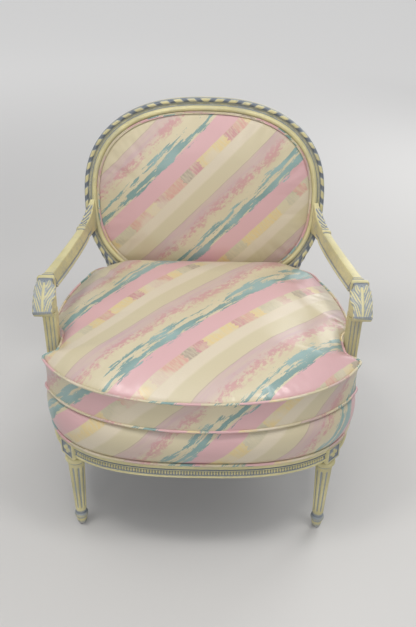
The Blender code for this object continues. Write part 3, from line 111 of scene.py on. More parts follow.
# %% Camera
PICTURE_PX, FOCAL_PX, SIDE_SHIFT_PX, SENSOR_MM = 627, 760, 5.5, 36
CAMERA_PITCH_DEG, CAMERA_ROLL_DEG = 32.5, 0.9
CAMERA_HEIGHT, CAMERA_BACK = 1.4085, 1.24987
camera_data = bpy.data.cameras.new("camera")
camera_data.lens = FOCAL_PX / PICTURE_PX * SENSOR_MM
camera_data.sensor_width = SENSOR_MM
camera_data.clip_start = 0.01
camera_data.shift_x = SIDE_SHIFT_PX / PICTURE_PX
camera = bpy.data.objects.new("camera", camera_data)
camera.location = (0.0, -CAMERA_BACK + SHIFT_Y, CAMERA_HEIGHT)
look = Matrix.Rotation(math.radians(90 - CAMERA_PITCH_DEG), 4, "X")
camera.rotation_euler = (look @ Matrix.Rotation(math.radians(CAMERA_ROLL_DEG), 4, "Z")).to_euler()
SCENE.collection.objects.link(camera)
SCENE.camera = camera
SCENE.view_settings.view_transform = "Standard"
print("camera at", [round(v, 3) for v in camera.location])

# %% [markdown]
# ## Helpers for finishes
# A finish is a small network of nodes. Wiring it by hand takes three lines for every node, so a few helpers
# add a node, feed its sockets with numbers, colours or links, and hand back what it puts out.


# %% Node helpers
def feed(tree, socket, value):
    """Sets a socket to a number or a colour, or links another socket to it."""
    if isinstance(value, (int, float)):
        socket.default_value = value
    elif isinstance(value, tuple):
        socket.default_value = (*value, 1.0) if socket.type == "RGBA" else value
    else:
        tree.links.new(value, socket)


def node(tree, kind, inputs=None, **values):
    """Adds a node: values set its own properties, inputs feed its sockets by name or number."""
    made = tree.nodes.new(kind)
    for key, value in values.items():
        setattr(made, key, value)
    for key, value in (inputs or {}).items():
        feed(tree, made.inputs[key], value)
    return made


def math_node(tree, operation, *values, clamp=False):
    return node(tree, "ShaderNodeMath", dict(enumerate(values)), operation=operation, use_clamp=clamp).outputs[0]


def nudged(tree, base, wave, amount):
    """A base value, pushed up and down by a noise."""
    return math_node(tree, "MULTIPLY_ADD", math_node(tree, "SUBTRACT", wave, 0.5), amount, base)


def map_range(tree, value, low, high, to_low=0.0, to_high=1.0, kind="SMOOTHSTEP"):
    inputs = {"Value": value, "From Min": low, "From Max": high, "To Min": to_low, "To Max": to_high}
    return node(tree, "ShaderNodeMapRange", inputs, interpolation_type=kind, clamp=True).outputs["Result"]


def mix_colour(tree, factor, first, second):
    inputs = {"Factor": factor, "A": first, "B": second}
    return node(tree, "ShaderNodeMix", inputs, data_type="RGBA").outputs["Result"]


def noise(tree, vector, scale, detail=3.0, rough=0.55, stretch=None):
    """A noise value; stretch squeezes the coordinates first."""
    if stretch:
        vector = node(tree, "ShaderNodeMapping", {"Vector": vector, "Scale": stretch}).outputs["Vector"]
    inputs = {"Vector": vector, "Scale": scale, "Detail": detail, "Roughness": rough}
    return node(tree, "ShaderNodeTexNoise", inputs).outputs["Fac"]


def srgb(red, green, blue):
    """A colour as a picture editor shows it, 0 to 255, turned to the linear values that shaders use."""
    return tuple(((v / 255 + 0.055) / 1.055) ** 2.4 if v > 10 else v / 255 / 12.92 for v in (red, green, blue))


print("node helpers ready")


# %% Group and material helpers
FLOAT, COLOUR, VECTOR = "NodeSocketFloat", "NodeSocketColor", "NodeSocketVector"


def new_group(name, inputs, outputs):
    """A node group with inputs (name, kind, default) and outputs (name, kind): its tree and both ends."""
    tree = bpy.data.node_groups.new(name, "ShaderNodeTree")
    for socket_name, kind, default in inputs:
        socket = tree.interface.new_socket(socket_name, in_out="INPUT", socket_type=kind)
        if default is not None:
            socket.default_value = default
    for socket_name, kind in outputs:
        tree.interface.new_socket(socket_name, in_out="OUTPUT", socket_type=kind)
    return tree, node(tree, "NodeGroupInput").outputs, node(tree, "NodeGroupOutput").inputs


def use_group(tree, group, **inputs):
    return node(tree, "ShaderNodeGroup", inputs, node_tree=group).outputs


def new_material(name, roughness, metallic=0.0):
    """A material, its tree and the sockets of its shader."""
    material = bpy.data.materials.new(name)
    material.use_nodes = True
    into = material.node_tree.nodes["Principled BSDF"].inputs
    into["Roughness"].default_value = roughness
    into["Metallic"].default_value = metallic
    return material, material.node_tree, into


def object_place(tree):
    return node(tree, "ShaderNodeTexCoord").outputs["Object"]


def bump(tree, into, height, distance, strength):
    inputs = {"Height": height, "Distance": distance, "Strength": strength}
    feed(tree, into["Normal"], node(tree, "ShaderNodeBump", inputs).outputs["Normal"])


print("group and material helpers ready")

# %% [markdown]
# ## Floor and light
# The chair stands on a pale seamless floor. One broad lamp hangs overhead, two weak ones fill from the front
# and from behind, and two small ones hang in front, so a glazed cloth gets two soft highlights at its front
# edge. Away from the chair the floor and the backdrop are lifted for the camera alone, which keeps the ground
# even without putting more light on the chair.

# %% Floor
ROOM_LIGHT, BACKDROP, FAR_FLOOR_LIFT = 0.40, 0.60, 0.34
LIFT_FROM, LIFT_FULL = 0.9, 4.2
floor_mesh = bpy.data.meshes.new("floor")
floor_bm = bmesh.new()
bmesh.ops.create_grid(floor_bm, x_segments=2, y_segments=2, size=30.0)
floor_bm.to_mesh(floor_mesh)
floor_bm.free()
floor = bpy.data.objects.new("floor", floor_mesh)
SCENE.collection.objects.link(floor)
floor_paint, floor_tree, floor_into = new_material("pale_floor", 0.85)
from_chair = node(floor_tree, "ShaderNodeVectorMath", {0: object_place(floor_tree)}, operation="LENGTH")
lift = map_range(floor_tree, from_chair.outputs["Value"], LIFT_FROM, LIFT_FULL, 0.0, FAR_FLOOR_LIFT)
seen = node(floor_tree, "ShaderNodeLightPath").outputs["Is Camera Ray"]
for socket_name, value in (
    ("Base Color", (0.72, 0.71, 0.69)), ("Specular IOR Level", 0.2), ("Emission Color", (1.0, 0.99, 0.97)),
    ("Emission Strength", math_node(floor_tree, "MULTIPLY", lift, seen)),
):
    feed(floor_tree, floor_into[socket_name], value)
floor_mesh.materials.append(floor_paint)
print("floor laid")

# %% World and lamps
CHAIR_MIDDLE = (0, 0, 0.4)
WARM, FAINTLY_WARM, NEUTRAL = (1.0, 0.98, 0.95), (1.0, 0.98, 0.96), (1, 1, 1)
world = bpy.data.worlds.new("studio")
SCENE.world = world
world.use_nodes = True
room_tree = world.node_tree
room_into = room_tree.nodes["Background"].inputs
feed(room_tree, room_into["Color"], (0.93, 0.95, 1.0))
rays = node(room_tree, "ShaderNodeLightPath").outputs
shown = math_node(room_tree, "MAXIMUM", rays["Is Glossy Ray"], rays["Is Transmission Ray"])
shown = math_node(room_tree, "MAXIMUM", rays["Is Camera Ray"], shown)
feed(room_tree, room_into["Strength"],
     math_node(room_tree, "MULTIPLY_ADD", shown, BACKDROP - ROOM_LIGHT, ROOM_LIGHT))
for lamp_name, place, aim, size, watts, tint in (
    ("overhead_soft", (-0.3, -0.6, 2.7), CHAIR_MIDDLE, (2.4, 1.6), 13.5, WARM),
    ("front_fill", (-0.3, -2.5, 1.5), CHAIR_MIDDLE, (2.2, 1.6), 11.5, WARM),
    ("left_soft", (-0.75, -0.62, 2.35), CHAIR_MIDDLE, (0.40, 0.40), 8.5, FAINTLY_WARM),
    ("right_soft", (0.75, -0.62, 2.35), CHAIR_MIDDLE, (0.40, 0.40), 8.5, FAINTLY_WARM),
    ("back_fill", (1.6, 2.0, 1.8), (0, 0.1, 0.5), (1.6, 1.4), 24, NEUTRAL),
):
    lamp_data = bpy.data.lights.new(lamp_name, "AREA")
    lamp_data.shape = "RECTANGLE"
    lamp_data.size, lamp_data.size_y = size
    lamp_data.energy, lamp_data.color = watts, tint
    lamp = bpy.data.objects.new(lamp_name, lamp_data)
    lamp.location = place
    lamp.rotation_euler = (Vector(aim) - Vector(place)).to_track_quat("-Z", "Y").to_euler()
    lamp.visible_camera = False
    SCENE.collection.objects.link(lamp)
    print("lamp", lamp_name, watts, "W")

# %% [markdown]
# ## Node groups for the finishes
# Several finishes share the same effects, so each effect is one small node group: cloudy tone for aged
# paint, a rag-wiped wash that lies in the hollows, brush marks, a weave for the cloths, and the printed
# stripes. A group only hands out colours, masks and heights. The shader itself stays in each material.

# %% Cloudy tone, rag-wiped wash and brush marks
cloud_tree, taken, given = new_group(
    "aged_cloud", [("Vector", VECTOR, None), ("Scale", FLOAT, 9.0)], [("Tone", FLOAT), ("Speck", FLOAT)])
cloud = noise(cloud_tree, taken["Vector"], taken["Scale"], 4.0, 0.5)
feed(cloud_tree, given["Tone"], map_range(cloud_tree, cloud, 0.35, 0.7))
speck = noise(cloud_tree, taken["Vector"], 420.0, 2.0)
feed(cloud_tree, given["Speck"], map_range(cloud_tree, speck, 0.62, 0.74))

wash_tree, taken, given = new_group(
    "hollow_wash", [("Hollow", FLOAT, 0.0), ("Vector", VECTOR, None)], [("Mask", FLOAT)])
rag = noise(wash_tree, taken["Vector"], 160.0, 3.0)
patch = noise(wash_tree, taken["Vector"], 26.0, 2.0)
broken = nudged(wash_tree, nudged(wash_tree, taken["Hollow"], rag, 0.55), patch, 0.35)
feed(wash_tree, given["Mask"], map_range(wash_tree, broken, 0.18, 0.78))

brush_tree, taken, given = new_group("brush_marks", [("Vector", VECTOR, None)], [("Height", FLOAT)])
fine = noise(brush_tree, taken["Vector"], 260.0, 3.0, 0.6)
broad = noise(brush_tree, taken["Vector"], 45.0, 2.0)
feed(brush_tree, given["Height"], math_node(brush_tree, "MULTIPLY_ADD", broad, 0.6, fine))
print("paint groups:", cloud_tree.name, wash_tree.name, brush_tree.name)

# %% Weave
weave_tree, taken, given = new_group(
    "plain_weave", [("Vector", VECTOR, None), ("Threads", FLOAT, 1500.0)], [("Height", FLOAT), ("Tone", FLOAT)])
axes = node(weave_tree, "ShaderNodeSeparateXYZ", {0: taken["Vector"]}).outputs
warp, weft, third = (
    math_node(weave_tree, "SINE", math_node(weave_tree, "MULTIPLY", axis, taken["Threads"])) for axis in axes)
cross = math_node(weave_tree, "ADD", math_node(weave_tree, "MULTIPLY", warp, weft),
                  math_node(weave_tree, "MULTIPLY", weft, third))
slub = noise(weave_tree, taken["Vector"], 300.0, 2.0)
feed(weave_tree, given["Height"], math_node(weave_tree, "MULTIPLY_ADD", slub, 0.8, cross))
feed(weave_tree, given["Tone"], map_range(weave_tree, slub, 0.3, 0.7))
print("weave group:", weave_tree.name)

# %% [markdown]
# ## The printed stripes
# The cotton is printed with soft diagonal stripes as if brushed on: teal strokes with ragged ends, a plain
# pink, a row of small patches, two creams, a dusty mauve and a rose speckle. The design repeats every
# 22 to 24 cm across the bias. The group takes cloth coordinates in metres, turns them by 45 degrees and asks
# how far across the repeat a point lies. Stretched noise shifts that answer, so edges fray along the stroke.

# %% Colours and places of the stripes
TEAL, TEAL_PALE = srgb(120, 153, 149), srgb(146, 176, 173)
PINK, ROSE = srgb(217, 174, 176), srgb(200, 138, 146)
CREAM, BEIGE, PALE = srgb(214, 203, 171), srgb(207, 196, 163), srgb(218, 206, 182)
MAUVE, SEAM_LINE = srgb(200, 172, 172), srgb(160, 134, 128)
YELLOW, CORAL = srgb(224, 200, 142), srgb(213, 158, 148)
SAGE, TAUPE = srgb(198, 190, 164), srgb(166, 150, 138)
# From, to and blur of each stripe, as shares of the repeat.
PINK_BAND, PATCH_BAND, PALE_BAND = (0.118, 0.301, 0.004), (0.301, 0.418, 0.006), (0.418, 0.540, 0.012)
BEIGE_BAND, SEAM_BAND, ROSE_BAND = (0.535, 0.693, 0.022), (0.688, 0.695, 0.003), (0.775, 0.905, 0.050)
MAUVE_START, MAUVE_END = (0.690, 0.696), (0.775, 0.880)
PATCH_LENGTH, PATCH_FRAY = 0.030, 0.030
PATCH_COLOURS = ((0.0, YELLOW), (0.22, SAGE), (0.36, CORAL), (0.52, YELLOW), (0.66, CREAM), (0.78, TAUPE),
                 (0.88, ROSE))

st, taken, stripe_out = new_group(
    "brushed_stripes", [("Cloth", VECTOR, None), ("Start", FLOAT, 0.0), ("Repeat", FLOAT, 0.225)],
    [("Color", COLOUR)])
turn = node(st, "ShaderNodeVectorRotate", {"Vector": taken["Cloth"], "Angle": math.radians(-45)},
            rotation_type="Z_AXIS")
stripe_xyz = node(st, "ShaderNodeSeparateXYZ", {0: turn.outputs["Vector"]}).outputs
length_along, across = stripe_xyz[0], stripe_xyz[1]
cloth_xy = node(st, "ShaderNodeCombineXYZ", {0: length_along, 1: across}).outputs[0]
position = math_node(st, "SUBTRACT", taken["Start"], math_node(st, "DIVIDE", across, taken["Repeat"]))
repeat = math_node(st, "FRACT", position)
fray = noise(st, cloth_xy, 60.0, 4.0, 0.6, (0.35, 2.2, 1.0))
soft = noise(st, cloth_xy, 14.0, 2.0, 0.5, (0.5, 1.0, 1.0))
wobble = nudged(st, nudged(st, repeat, fray, 0.020), soft, 0.006)


def band(low, high, blur, value=wobble):
    """1 inside a stripe of the repeat, 0 outside."""
    rise = map_range(st, value, low - blur, low + blur)
    fall = map_range(st, value, high - blur, high + blur)
    return math_node(st, "SUBTRACT", rise, fall, clamp=True)


print("stripes between", PINK_BAND[0], "and", ROSE_BAND[1], "of the repeat")

# %% Plain stripes and the row of patches
cell_edge = nudged(st, length_along, fray, PATCH_FRAY)
cell = math_node(st, "FLOOR", math_node(st, "MULTIPLY", cell_edge, 1 / PATCH_LENGTH))
cell_seed = node(st, "ShaderNodeCombineXYZ", {0: cell, 1: math_node(st, "FLOOR", position)}).outputs[0]
pick = node(st, "ShaderNodeTexWhiteNoise", {"Vector": cell_seed}, noise_dimensions="2D").outputs["Value"]
patch_ramp = node(st, "ShaderNodeValToRGB", {"Fac": pick})
patch_ramp.color_ramp.interpolation = "CONSTANT"
stops = patch_ramp.color_ramp.elements
for number, (place, shade) in enumerate(PATCH_COLOURS):
    stop = stops[number] if number < 2 else stops.new(place)
    stop.position, stop.color = place, (*shade, 1)
dabs = noise(st, cloth_xy, 110.0, 3.0, 0.6, (2.0, 0.35, 1.0))
faded = noise(st, cloth_xy, 11.0, 2.0, 0.5)
patches = mix_colour(st, map_range(st, dabs, 0.40, 0.62, 0.12, 0.60), patch_ramp.outputs["Color"], CREAM)
patches = mix_colour(st, map_range(st, faded, 0.50, 0.62, 0.0, 0.75), patches, PALE)
colour = mix_colour(st, map_range(st, soft, 0.3, 0.7), CREAM, BEIGE)
for edges, paint in ((PINK_BAND, PINK), (PATCH_BAND, patches), (PALE_BAND, PALE), (BEIGE_BAND, BEIGE)):
    colour = mix_colour(st, band(*edges), colour, paint)
print("patch colours:", len(stops))

# %% Mauve, seam line and rose speckle
streaks = noise(st, cloth_xy, 40.0, 4.0, 0.6, (0.25, 2.4, 1.0))
mauve_zone = math_node(st, "MULTIPLY", map_range(st, wobble, *MAUVE_START),
                       map_range(st, wobble, *MAUVE_END, 1.0, 0.0))
mauve_mask = math_node(st, "MULTIPLY", mauve_zone, map_range(st, streaks, 0.30, 0.66, 1.0, 0.62))
colour = mix_colour(st, mauve_mask, colour, MAUVE)
colour = mix_colour(st, math_node(st, "MULTIPLY", band(*SEAM_BAND), 0.45), colour, SEAM_LINE)
sponge = noise(st, cloth_xy, 100.0, 5.0, 0.74, (0.75, 1.25, 1.0))
clumps = noise(st, cloth_xy, 22.0, 2.0, 0.5, (0.6, 1.3, 1.0))
rose_zone = band(*ROSE_BAND, repeat)
rose_value = nudged(st, math_node(st, "MULTIPLY_ADD", rose_zone, 0.17, sponge), clumps, 0.55)
rose_mask = math_node(st, "MULTIPLY", map_range(st, rose_value, 0.60, 0.72),
                      math_node(st, "MULTIPLY", rose_zone, 0.70), clamp=True)
colour = mix_colour(st, rose_mask, colour, ROSE)
print("mauve and rose printed")

# %% Teal strokes
stroke = noise(st, cloth_xy, 34.0, 6.0, 0.72, (0.40, 2.8, 1.0))
breaks = noise(st, cloth_xy, 9.0, 2.0, 0.5, (0.8, 1.3, 1.0))


def brush(middle, half, load, dry):
    """How much paint one pass of the brush lays down: load at its middle, dry at its edges."""
    off = math_node(st, "PINGPONG", math_node(st, "ADD", repeat, 1.0 - middle), 0.5)
    return map_range(st, off, 0.0, half, load, dry, "LINEAR")


full_pass, dry_pass = brush(0.082, 0.085, 0.36, -0.10), brush(-0.005, 0.080, 0.22, -0.22)
near_stroke = brush(0.045, 0.120, 8.0, 0.0)
teal_value = nudged(st, math_node(st, "MAXIMUM", full_pass, dry_pass), stroke, 1.75)
teal_value = nudged(st, teal_value, breaks, 0.70)
teal_mask = math_node(st, "MULTIPLY", map_range(st, teal_value, 0.150, 0.185), near_stroke, clamp=True)
teal_colour = mix_colour(st, map_range(st, breaks, 0.40, 0.62), TEAL, TEAL_PALE)
feed(st, stripe_out["Color"], mix_colour(st, teal_mask, colour, teal_colour))
print("stripe print of", len(st.nodes), "nodes")

# %% [markdown]
# ## The materials
# The paint reads a point attribute named hollow that each carved piece carries: 0 on the ridges, 1 deep in
# the carving. The wash group breaks its edge up, so the colour looks wiped and not masked. The glazed
# cotton has a low, even sheen with the weave barely standing proud.

# %% Painted wood
CREAM_PAINT, CREAM_DEEP = srgb(219, 210, 160), srgb(198, 190, 143)
# The second blue is partly the wash itself and partly painted shade in the deepest cuts.
WASH_BLUE, DEEP_WASH_AND_SHADE = srgb(150, 157, 162), srgb(104, 112, 122)
GLAZE_GREY, SPECK_BROWN = srgb(180, 178, 158), srgb(150, 138, 110)


def painted_wood(name):
    material, tree, into = new_material(name, 0.42)
    place = object_place(tree)
    clouds = use_group(tree, cloud_tree, Vector=place, Scale=11.0)
    hollow = node(tree, "ShaderNodeAttribute", attribute_name="hollow").outputs["Fac"]
    mask = use_group(tree, wash_tree, Hollow=hollow, Vector=place)["Mask"]
    cream = mix_colour(tree, clouds["Tone"], CREAM_PAINT, CREAM_DEEP)
    # Past a hollow of 0.75 the blue darkens: the wash with painted shade in the deepest cuts, such as between the
    # ribbon's turns.
    blue = mix_colour(tree, map_range(tree, hollow, 0.75, 1.15), WASH_BLUE, DEEP_WASH_AND_SHADE)
    glaze = map_range(tree, noise(tree, place, 26.0, 3.0, 0.6), 0.48, 0.68, 0.0, 0.38)
    paint = mix_colour(tree, mask, mix_colour(tree, glaze, cream, GLAZE_GREY), blue)
    paint = mix_colour(tree, math_node(tree, "MULTIPLY", clouds["Speck"], 0.35), paint, SPECK_BROWN)
    feed(tree, into["Base Color"], paint)
    feed(tree, into["Roughness"], map_range(tree, clouds["Tone"], 0, 1, 0.38, 0.52))
    bump(tree, into, use_group(tree, brush_tree, Vector=place)["Height"], 0.0004, 0.35)
    return material


cream_paint = painted_wood("cream_paint")
print("painted wood ready")

# %% Glazed striped cotton
SLUB_BROWN = srgb(196, 180, 160)


def striped_cotton(name, start, repeat_width):
    material, tree, into = new_material(name, 0.40)
    cloth = node(tree, "ShaderNodeUVMap", uv_map="cloth").outputs["UV"]
    printed = use_group(tree, st, Cloth=cloth, Start=start, Repeat=repeat_width)["Color"]
    weave = use_group(tree, weave_tree, Vector=cloth, Threads=5200.0)
    slubs = math_node(tree, "MULTIPLY", weave["Tone"], 0.10)
    feed(tree, into["Base Color"], mix_colour(tree, slubs, printed, SLUB_BROWN))
    feed(tree, into["Roughness"], map_range(tree, weave["Tone"], 0, 1, 0.36, 0.46))
    feed(tree, into["Coat Weight"], 0.40)
    feed(tree, into["Coat Roughness"], 0.19)
    bump(tree, into, weave["Height"], 0.00012, 0.35)
    return material


seat_cotton = striped_cotton("seat_cotton", 0.560, 0.243)
back_cotton = striped_cotton("back_cotton", 0.692, 0.225)
print("cotton ready")


# %% Plain cloths, wood and metals
def darker(colour, share):
    return tuple(c * share for c in colour)


def plain_cloth(name, colour, threads, roughness, depth, shade=0.35):
    material, tree, into = new_material(name, roughness)
    weave = use_group(tree, weave_tree, Vector=object_place(tree), Threads=threads)
    feed(tree, into["Base Color"], mix_colour(tree, weave["Tone"], colour, darker(colour, 1 - shade)))
    bump(tree, into, weave["Height"], depth, 0.7)
    return material


def plain_metal(name, colour, roughness):
    material, tree, into = new_material(name, roughness, 1.0)
    clouds = use_group(tree, cloud_tree, Vector=object_place(tree), Scale=60.0)
    feed(tree, into["Base Color"], mix_colour(tree, clouds["Tone"], colour, darker(colour, 0.75)))
    feed(tree, into["Roughness"], map_range(tree, clouds["Tone"], 0, 1, roughness, roughness + 0.15))
    return material


def bare_wood(name, colour):
    material, tree, into = new_material(name, 0.6)
    grain = noise(tree, object_place(tree), 60.0, 5.0, 0.65, (1.0, 0.12, 1.0))
    grain_mask = map_range(tree, grain, 0.35, 0.7)
    feed(tree, into["Base Color"], mix_colour(tree, grain_mask, colour, darker(colour, 0.62)))
    bump(tree, into, grain, 0.0005, 0.4)
    return material


jute = plain_cloth("jute", srgb(176, 146, 98), 1500.0, 0.9, 0.0006)
burlap = plain_cloth("burlap", srgb(190, 164, 118), 2300.0, 0.9, 0.0004)
cambric = plain_cloth("cambric", srgb(44, 44, 47), 4200.0, 0.9, 0.0002, 0.2)
zip_tape = plain_cloth("zip_tape", srgb(224, 212, 188), 3600.0, 0.7, 0.0003, 0.15)
spring_wire = plain_metal("spring_wire", srgb(170, 172, 176), 0.35)
zinc = plain_metal("zinc", srgb(196, 197, 196), 0.3)
beech = bare_wood("beech", srgb(206, 172, 128))
print("plain finishes ready")

# %% Dress the solids that keep their shape
CORNERS = [f"{end}_{side}" for end in ("front", "rear") for side in ("left", "right")]
for names, material, slot in (
    ([f"corner_brace_{corner}" for corner in CORNERS], beech, "bare_beech"),
    ([f"{kind}_{corner}" for kind in ("brace_screw", "glide") for corner in CORNERS] + ["zip_slider"],
     zinc, "zinc_steel"),
    ([f"seat_spring_{number}" for number in range(1, 10)], spring_wire, "spring_steel"),
    (["seat_webbing"], jute, "jute"),
    (["spring_burlap", "back_burlap"], burlap, "burlap"),
    (["cushion_zipper"], zip_tape, "nylon_coil"),
    (["rear_seat_rail"], cream_paint, "cream_paint"),
):
    for name in names:
        solid = NODES[name]
        solid.data.materials.clear()
        solid.data.materials.append(material)
    print(slot, "on", len(names), "solids")

# %% [markdown]
# ## Skins
# Nearly every carved piece here is a grid of points: sections round the piece, one after another along it.
# A grid is easy to carve, because a groove or a leaf is just a small push along the surface's normal where
# a formula says so. The same formula also gives the hollow value, so the wash lies where the carving is deep.


# %% Mesh helpers
def clean_mesh(mesh, merge=None):
    """Turns all faces out; with a distance given, first merges points that lie closer."""
    bm = bmesh.new()
    bm.from_mesh(mesh)
    if merge:
        bmesh.ops.remove_doubles(bm, verts=bm.verts, dist=merge)
    bmesh.ops.recalc_face_normals(bm, faces=bm.faces)
    bm.to_mesh(mesh)
    bm.free()


def new_piece(name, points, faces, hollow=None, corners=None):
    """A mesh object, with the hollow value of each point and the cloth place of each face corner."""
    mesh = bpy.data.meshes.new(name)
    mesh.from_pydata(points, [], faces)
    if corners is not None:
        mesh.uv_layers.new(name="cloth").data.foreach_set("uv", np.asarray(corners, float).ravel())
    values = np.zeros(len(points)) if hollow is None else np.asarray(hollow, float).ravel()
    mesh.attributes.new("hollow", "FLOAT", "POINT").data.foreach_set("value", values)
    mesh.shade_smooth()
    piece = bpy.data.objects.new(name, mesh)
    SCENE.collection.objects.link(piece)
    return piece


def joined(pieces, name):
    """Joins meshes into the first one."""
    bm = bmesh.new()
    for piece in pieces:
        bm.from_mesh(piece.data)
    bm.to_mesh(pieces[0].data)
    bm.free()
    for piece in pieces[1:]:
        bpy.data.objects.remove(piece)
    pieces[0].name = name
    return pieces[0]


def seat(piece, material, slot, body, *nodes):
    """Gives a piece its finish and the body it rides on, and hides the solids it stands for."""
    piece.data.materials.clear()
    piece.data.materials.append(material)
    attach(piece, body)
    if nodes:
        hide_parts(*nodes)
    print(f"{piece.name}: {len(piece.data.polygons)} faces")
    return piece


def painted(piece, *nodes):
    return seat(piece, cream_paint, "cream_paint", "frame", *nodes)


print("mesh helpers ready")


# %% Grid helpers
def grid_faces(rows, cols, wrap=True, caps=True):
    """Faces of a grid of points; wrap closes each row, caps close the first row and the last."""
    faces = [(i * cols + j, i * cols + (j + 1) % cols, (i + 1) * cols + (j + 1) % cols, (i + 1) * cols + j)
             for i in range(rows - 1) for j in range(cols if wrap else cols - 1)]
    if wrap and caps:
        faces += [tuple(i * cols + j for j in range(cols)) for i in (0, rows - 1)]
    return faces


def skin(name, grid, wrap=True, caps=True, hollow=None, cloth=None, sharp_deg=60.0):
    """Turns a grid of points into a piece; a cloth grid has one more column, where the seam closes."""
    rows, cols = grid.shape[:2]
    corners = None
    if cloth is not None:
        corners = [cloth[i + down, j + over] for i in range(rows - 1) for j in range(cols)
                   for down, over in ((0, 0), (0, 1), (1, 1), (1, 0))]
        if caps:
            corners += [cloth[i, j] for i in (0, rows - 1) for j in range(cols)]
    piece = new_piece(name, grid.reshape(-1, 3).tolist(), grid_faces(rows, cols, wrap, caps), hollow, corners)
    clean_mesh(piece.data)
    piece.data.set_sharp_from_angle(angle=math.radians(sharp_deg))
    return piece


def distances(points, closed=False):
    """How far along a line of points each one lies; a closed line gets its whole length as well."""
    if closed:
        points = np.concatenate([points, points[:1]], axis=0)
    return np.concatenate([[0.0], np.cumsum(np.linalg.norm(np.diff(points, axis=0), axis=1))])


def resample(points, step):
    """Even points along a polyline, about a step apart."""
    place = distances(points)
    stations = np.linspace(0, place[-1], max(2, int(round(place[-1] / step)) + 1))
    return np.stack([np.interp(stations, place, points[:, axis]) for axis in range(points.shape[1])], axis=1)


print("grid helpers ready")


# %% Seat plan and back plane
def superellipse(degrees, wide, tall, fullness):
    angle = np.radians(degrees)
    return np.stack([wide * power(np.cos(angle), 2 / fullness), tall * power(np.sin(angle), 2 / fullness)], axis=1)


def superellipse_normals(points, wide, tall, fullness):
    return unit(np.stack([power(points[:, 0] / wide, fullness - 1) / wide,
                          power(points[:, 1] / tall, fullness - 1) / tall], axis=1))


def plan_halves(front):
    """Reach and fullness of the seat plan, where front tells its front half from its rear half."""
    return np.where(front, SEAT_FRONT_REACH, SEAT_REAR_REACH), np.where(front, FRONT_FULLNESS, REAR_FULLNESS)


def plan_points(degrees):
    halves = plan_halves(np.sin(np.radians(degrees)) < 0)
    return superellipse(degrees, SEAT_HALF_WIDTH, *halves) + np.array([0.0, SEAT_WIDEST_Y])


def plan_normals(points):
    halves = plan_halves(points[:, 1] < SEAT_WIDEST_Y)
    return superellipse_normals(points - np.array([0.0, SEAT_WIDEST_Y]), SEAT_HALF_WIDTH, *halves)


def plan_half_width(y):
    reach, fullness = (float(v) for v in plan_halves(y < SEAT_WIDEST_Y))
    return SEAT_HALF_WIDTH * (1 - abs((y - SEAT_WIDEST_Y) / reach) ** fullness) ** (1 / fullness)


def on_plan(flat, z):
    """Places on the seat plan, at a height, as world points."""
    return np.stack(np.broadcast_arrays(flat[..., 0], flat[..., 1] + SHIFT_Y, z), axis=-1)


def back_plane_y(z):
    return BACK_PLANE_Y + (z - BACK_PLANE_Z) * math.tan(RAKE)


def from_back(across, depth, up):
    """Back-plane places (across, into the back, up the slope) as world points."""
    y = back_plane_y(OVAL_CENTRE_Z) + SHIFT_Y + depth * math.cos(RAKE) + up * math.sin(RAKE)
    z = OVAL_CENTRE_Z - depth * math.sin(RAKE) + up * math.cos(RAKE)
    return np.stack(np.broadcast_arrays(across, y, z), axis=-1)


POST_X = plan_half_width(POST_Y) - RAIL_THICKNESS / 2
BLOCK_PROUD, BLOCK_FACES_DEG = 0.003, 45
dense_deg = np.linspace(-89.9, -0.1, 3000)
dense_normals = plan_normals(plan_points(dense_deg))
facing_deg = np.degrees(np.arctan2(dense_normals[:, 0], -dense_normals[:, 1]))
BLOCK_DEG = float(dense_deg[np.argmin(np.abs(facing_deg - BLOCK_FACES_DEG))])
BLOCK_FACE = plan_points(np.array([BLOCK_DEG]))[0]
BLOCK_OUT = plan_normals(BLOCK_FACE[None])[0]
BLOCK_CENTRE = BLOCK_FACE + BLOCK_OUT * (BLOCK_PROUD - BLOCK_WIDTH / 2)
print("leg block centre", BLOCK_CENTRE.round(4), "post x", round(POST_X, 4))

# %% [markdown]
# ## The oval frame of the back
# The oval is one moulding cut into four glued lengths. From the outside in it carries a ribbon wound round a
# thin stick, a hollow cove with the blue-grey wash, and a plain cream bead that holds the cloth. A ribbon
# could be a real strip wound in 3-D, but carved ribbon is solid wood, so here the stick's own radius swells
# and shrinks along a helix. Both halves wind away from the middle of the crest, as carvers cut them.

# %% Oval section
OVAL = OVAL_HALF_WIDTH, OVAL_HALF_HEIGHT, OVAL_FULLNESS
RIBBON_PITCH = 0.0335
ROD_INSET, ROD_DEPTH, ROD_RADIUS = 0.0058, 0.0030, 0.0046
COVE_FROM, COVE_TO, COVE_DEPTH, COVE_HOLLOW = 0.0108, 0.0176, 0.0034, 0.48
BEAD_FROM, BEAD_TO, BEAD_HEIGHT = 0.0186, 0.0326, 0.0054
# Inset, depth and hollow of the rabbets for the pad and the outside back, and of the moulding's back.
RABBETS = (
    (0.0329, 0.0042, 0.7), (0.0329, 0.0088, 0.6), (0.0490, 0.0088, 0), (0.0490, 0.0208, 0),
    (0.0262, 0.0208, 0.4), (0.0261, 0.0246, 0.2), (0.0250, 0.0258, 0), (0.0150, 0.0260, 0),
    (0.0050, 0.0258, 0), (0.0018, 0.0246, 0), (0.0006, 0.0220, 0), (0.0004, 0.0160, 0))


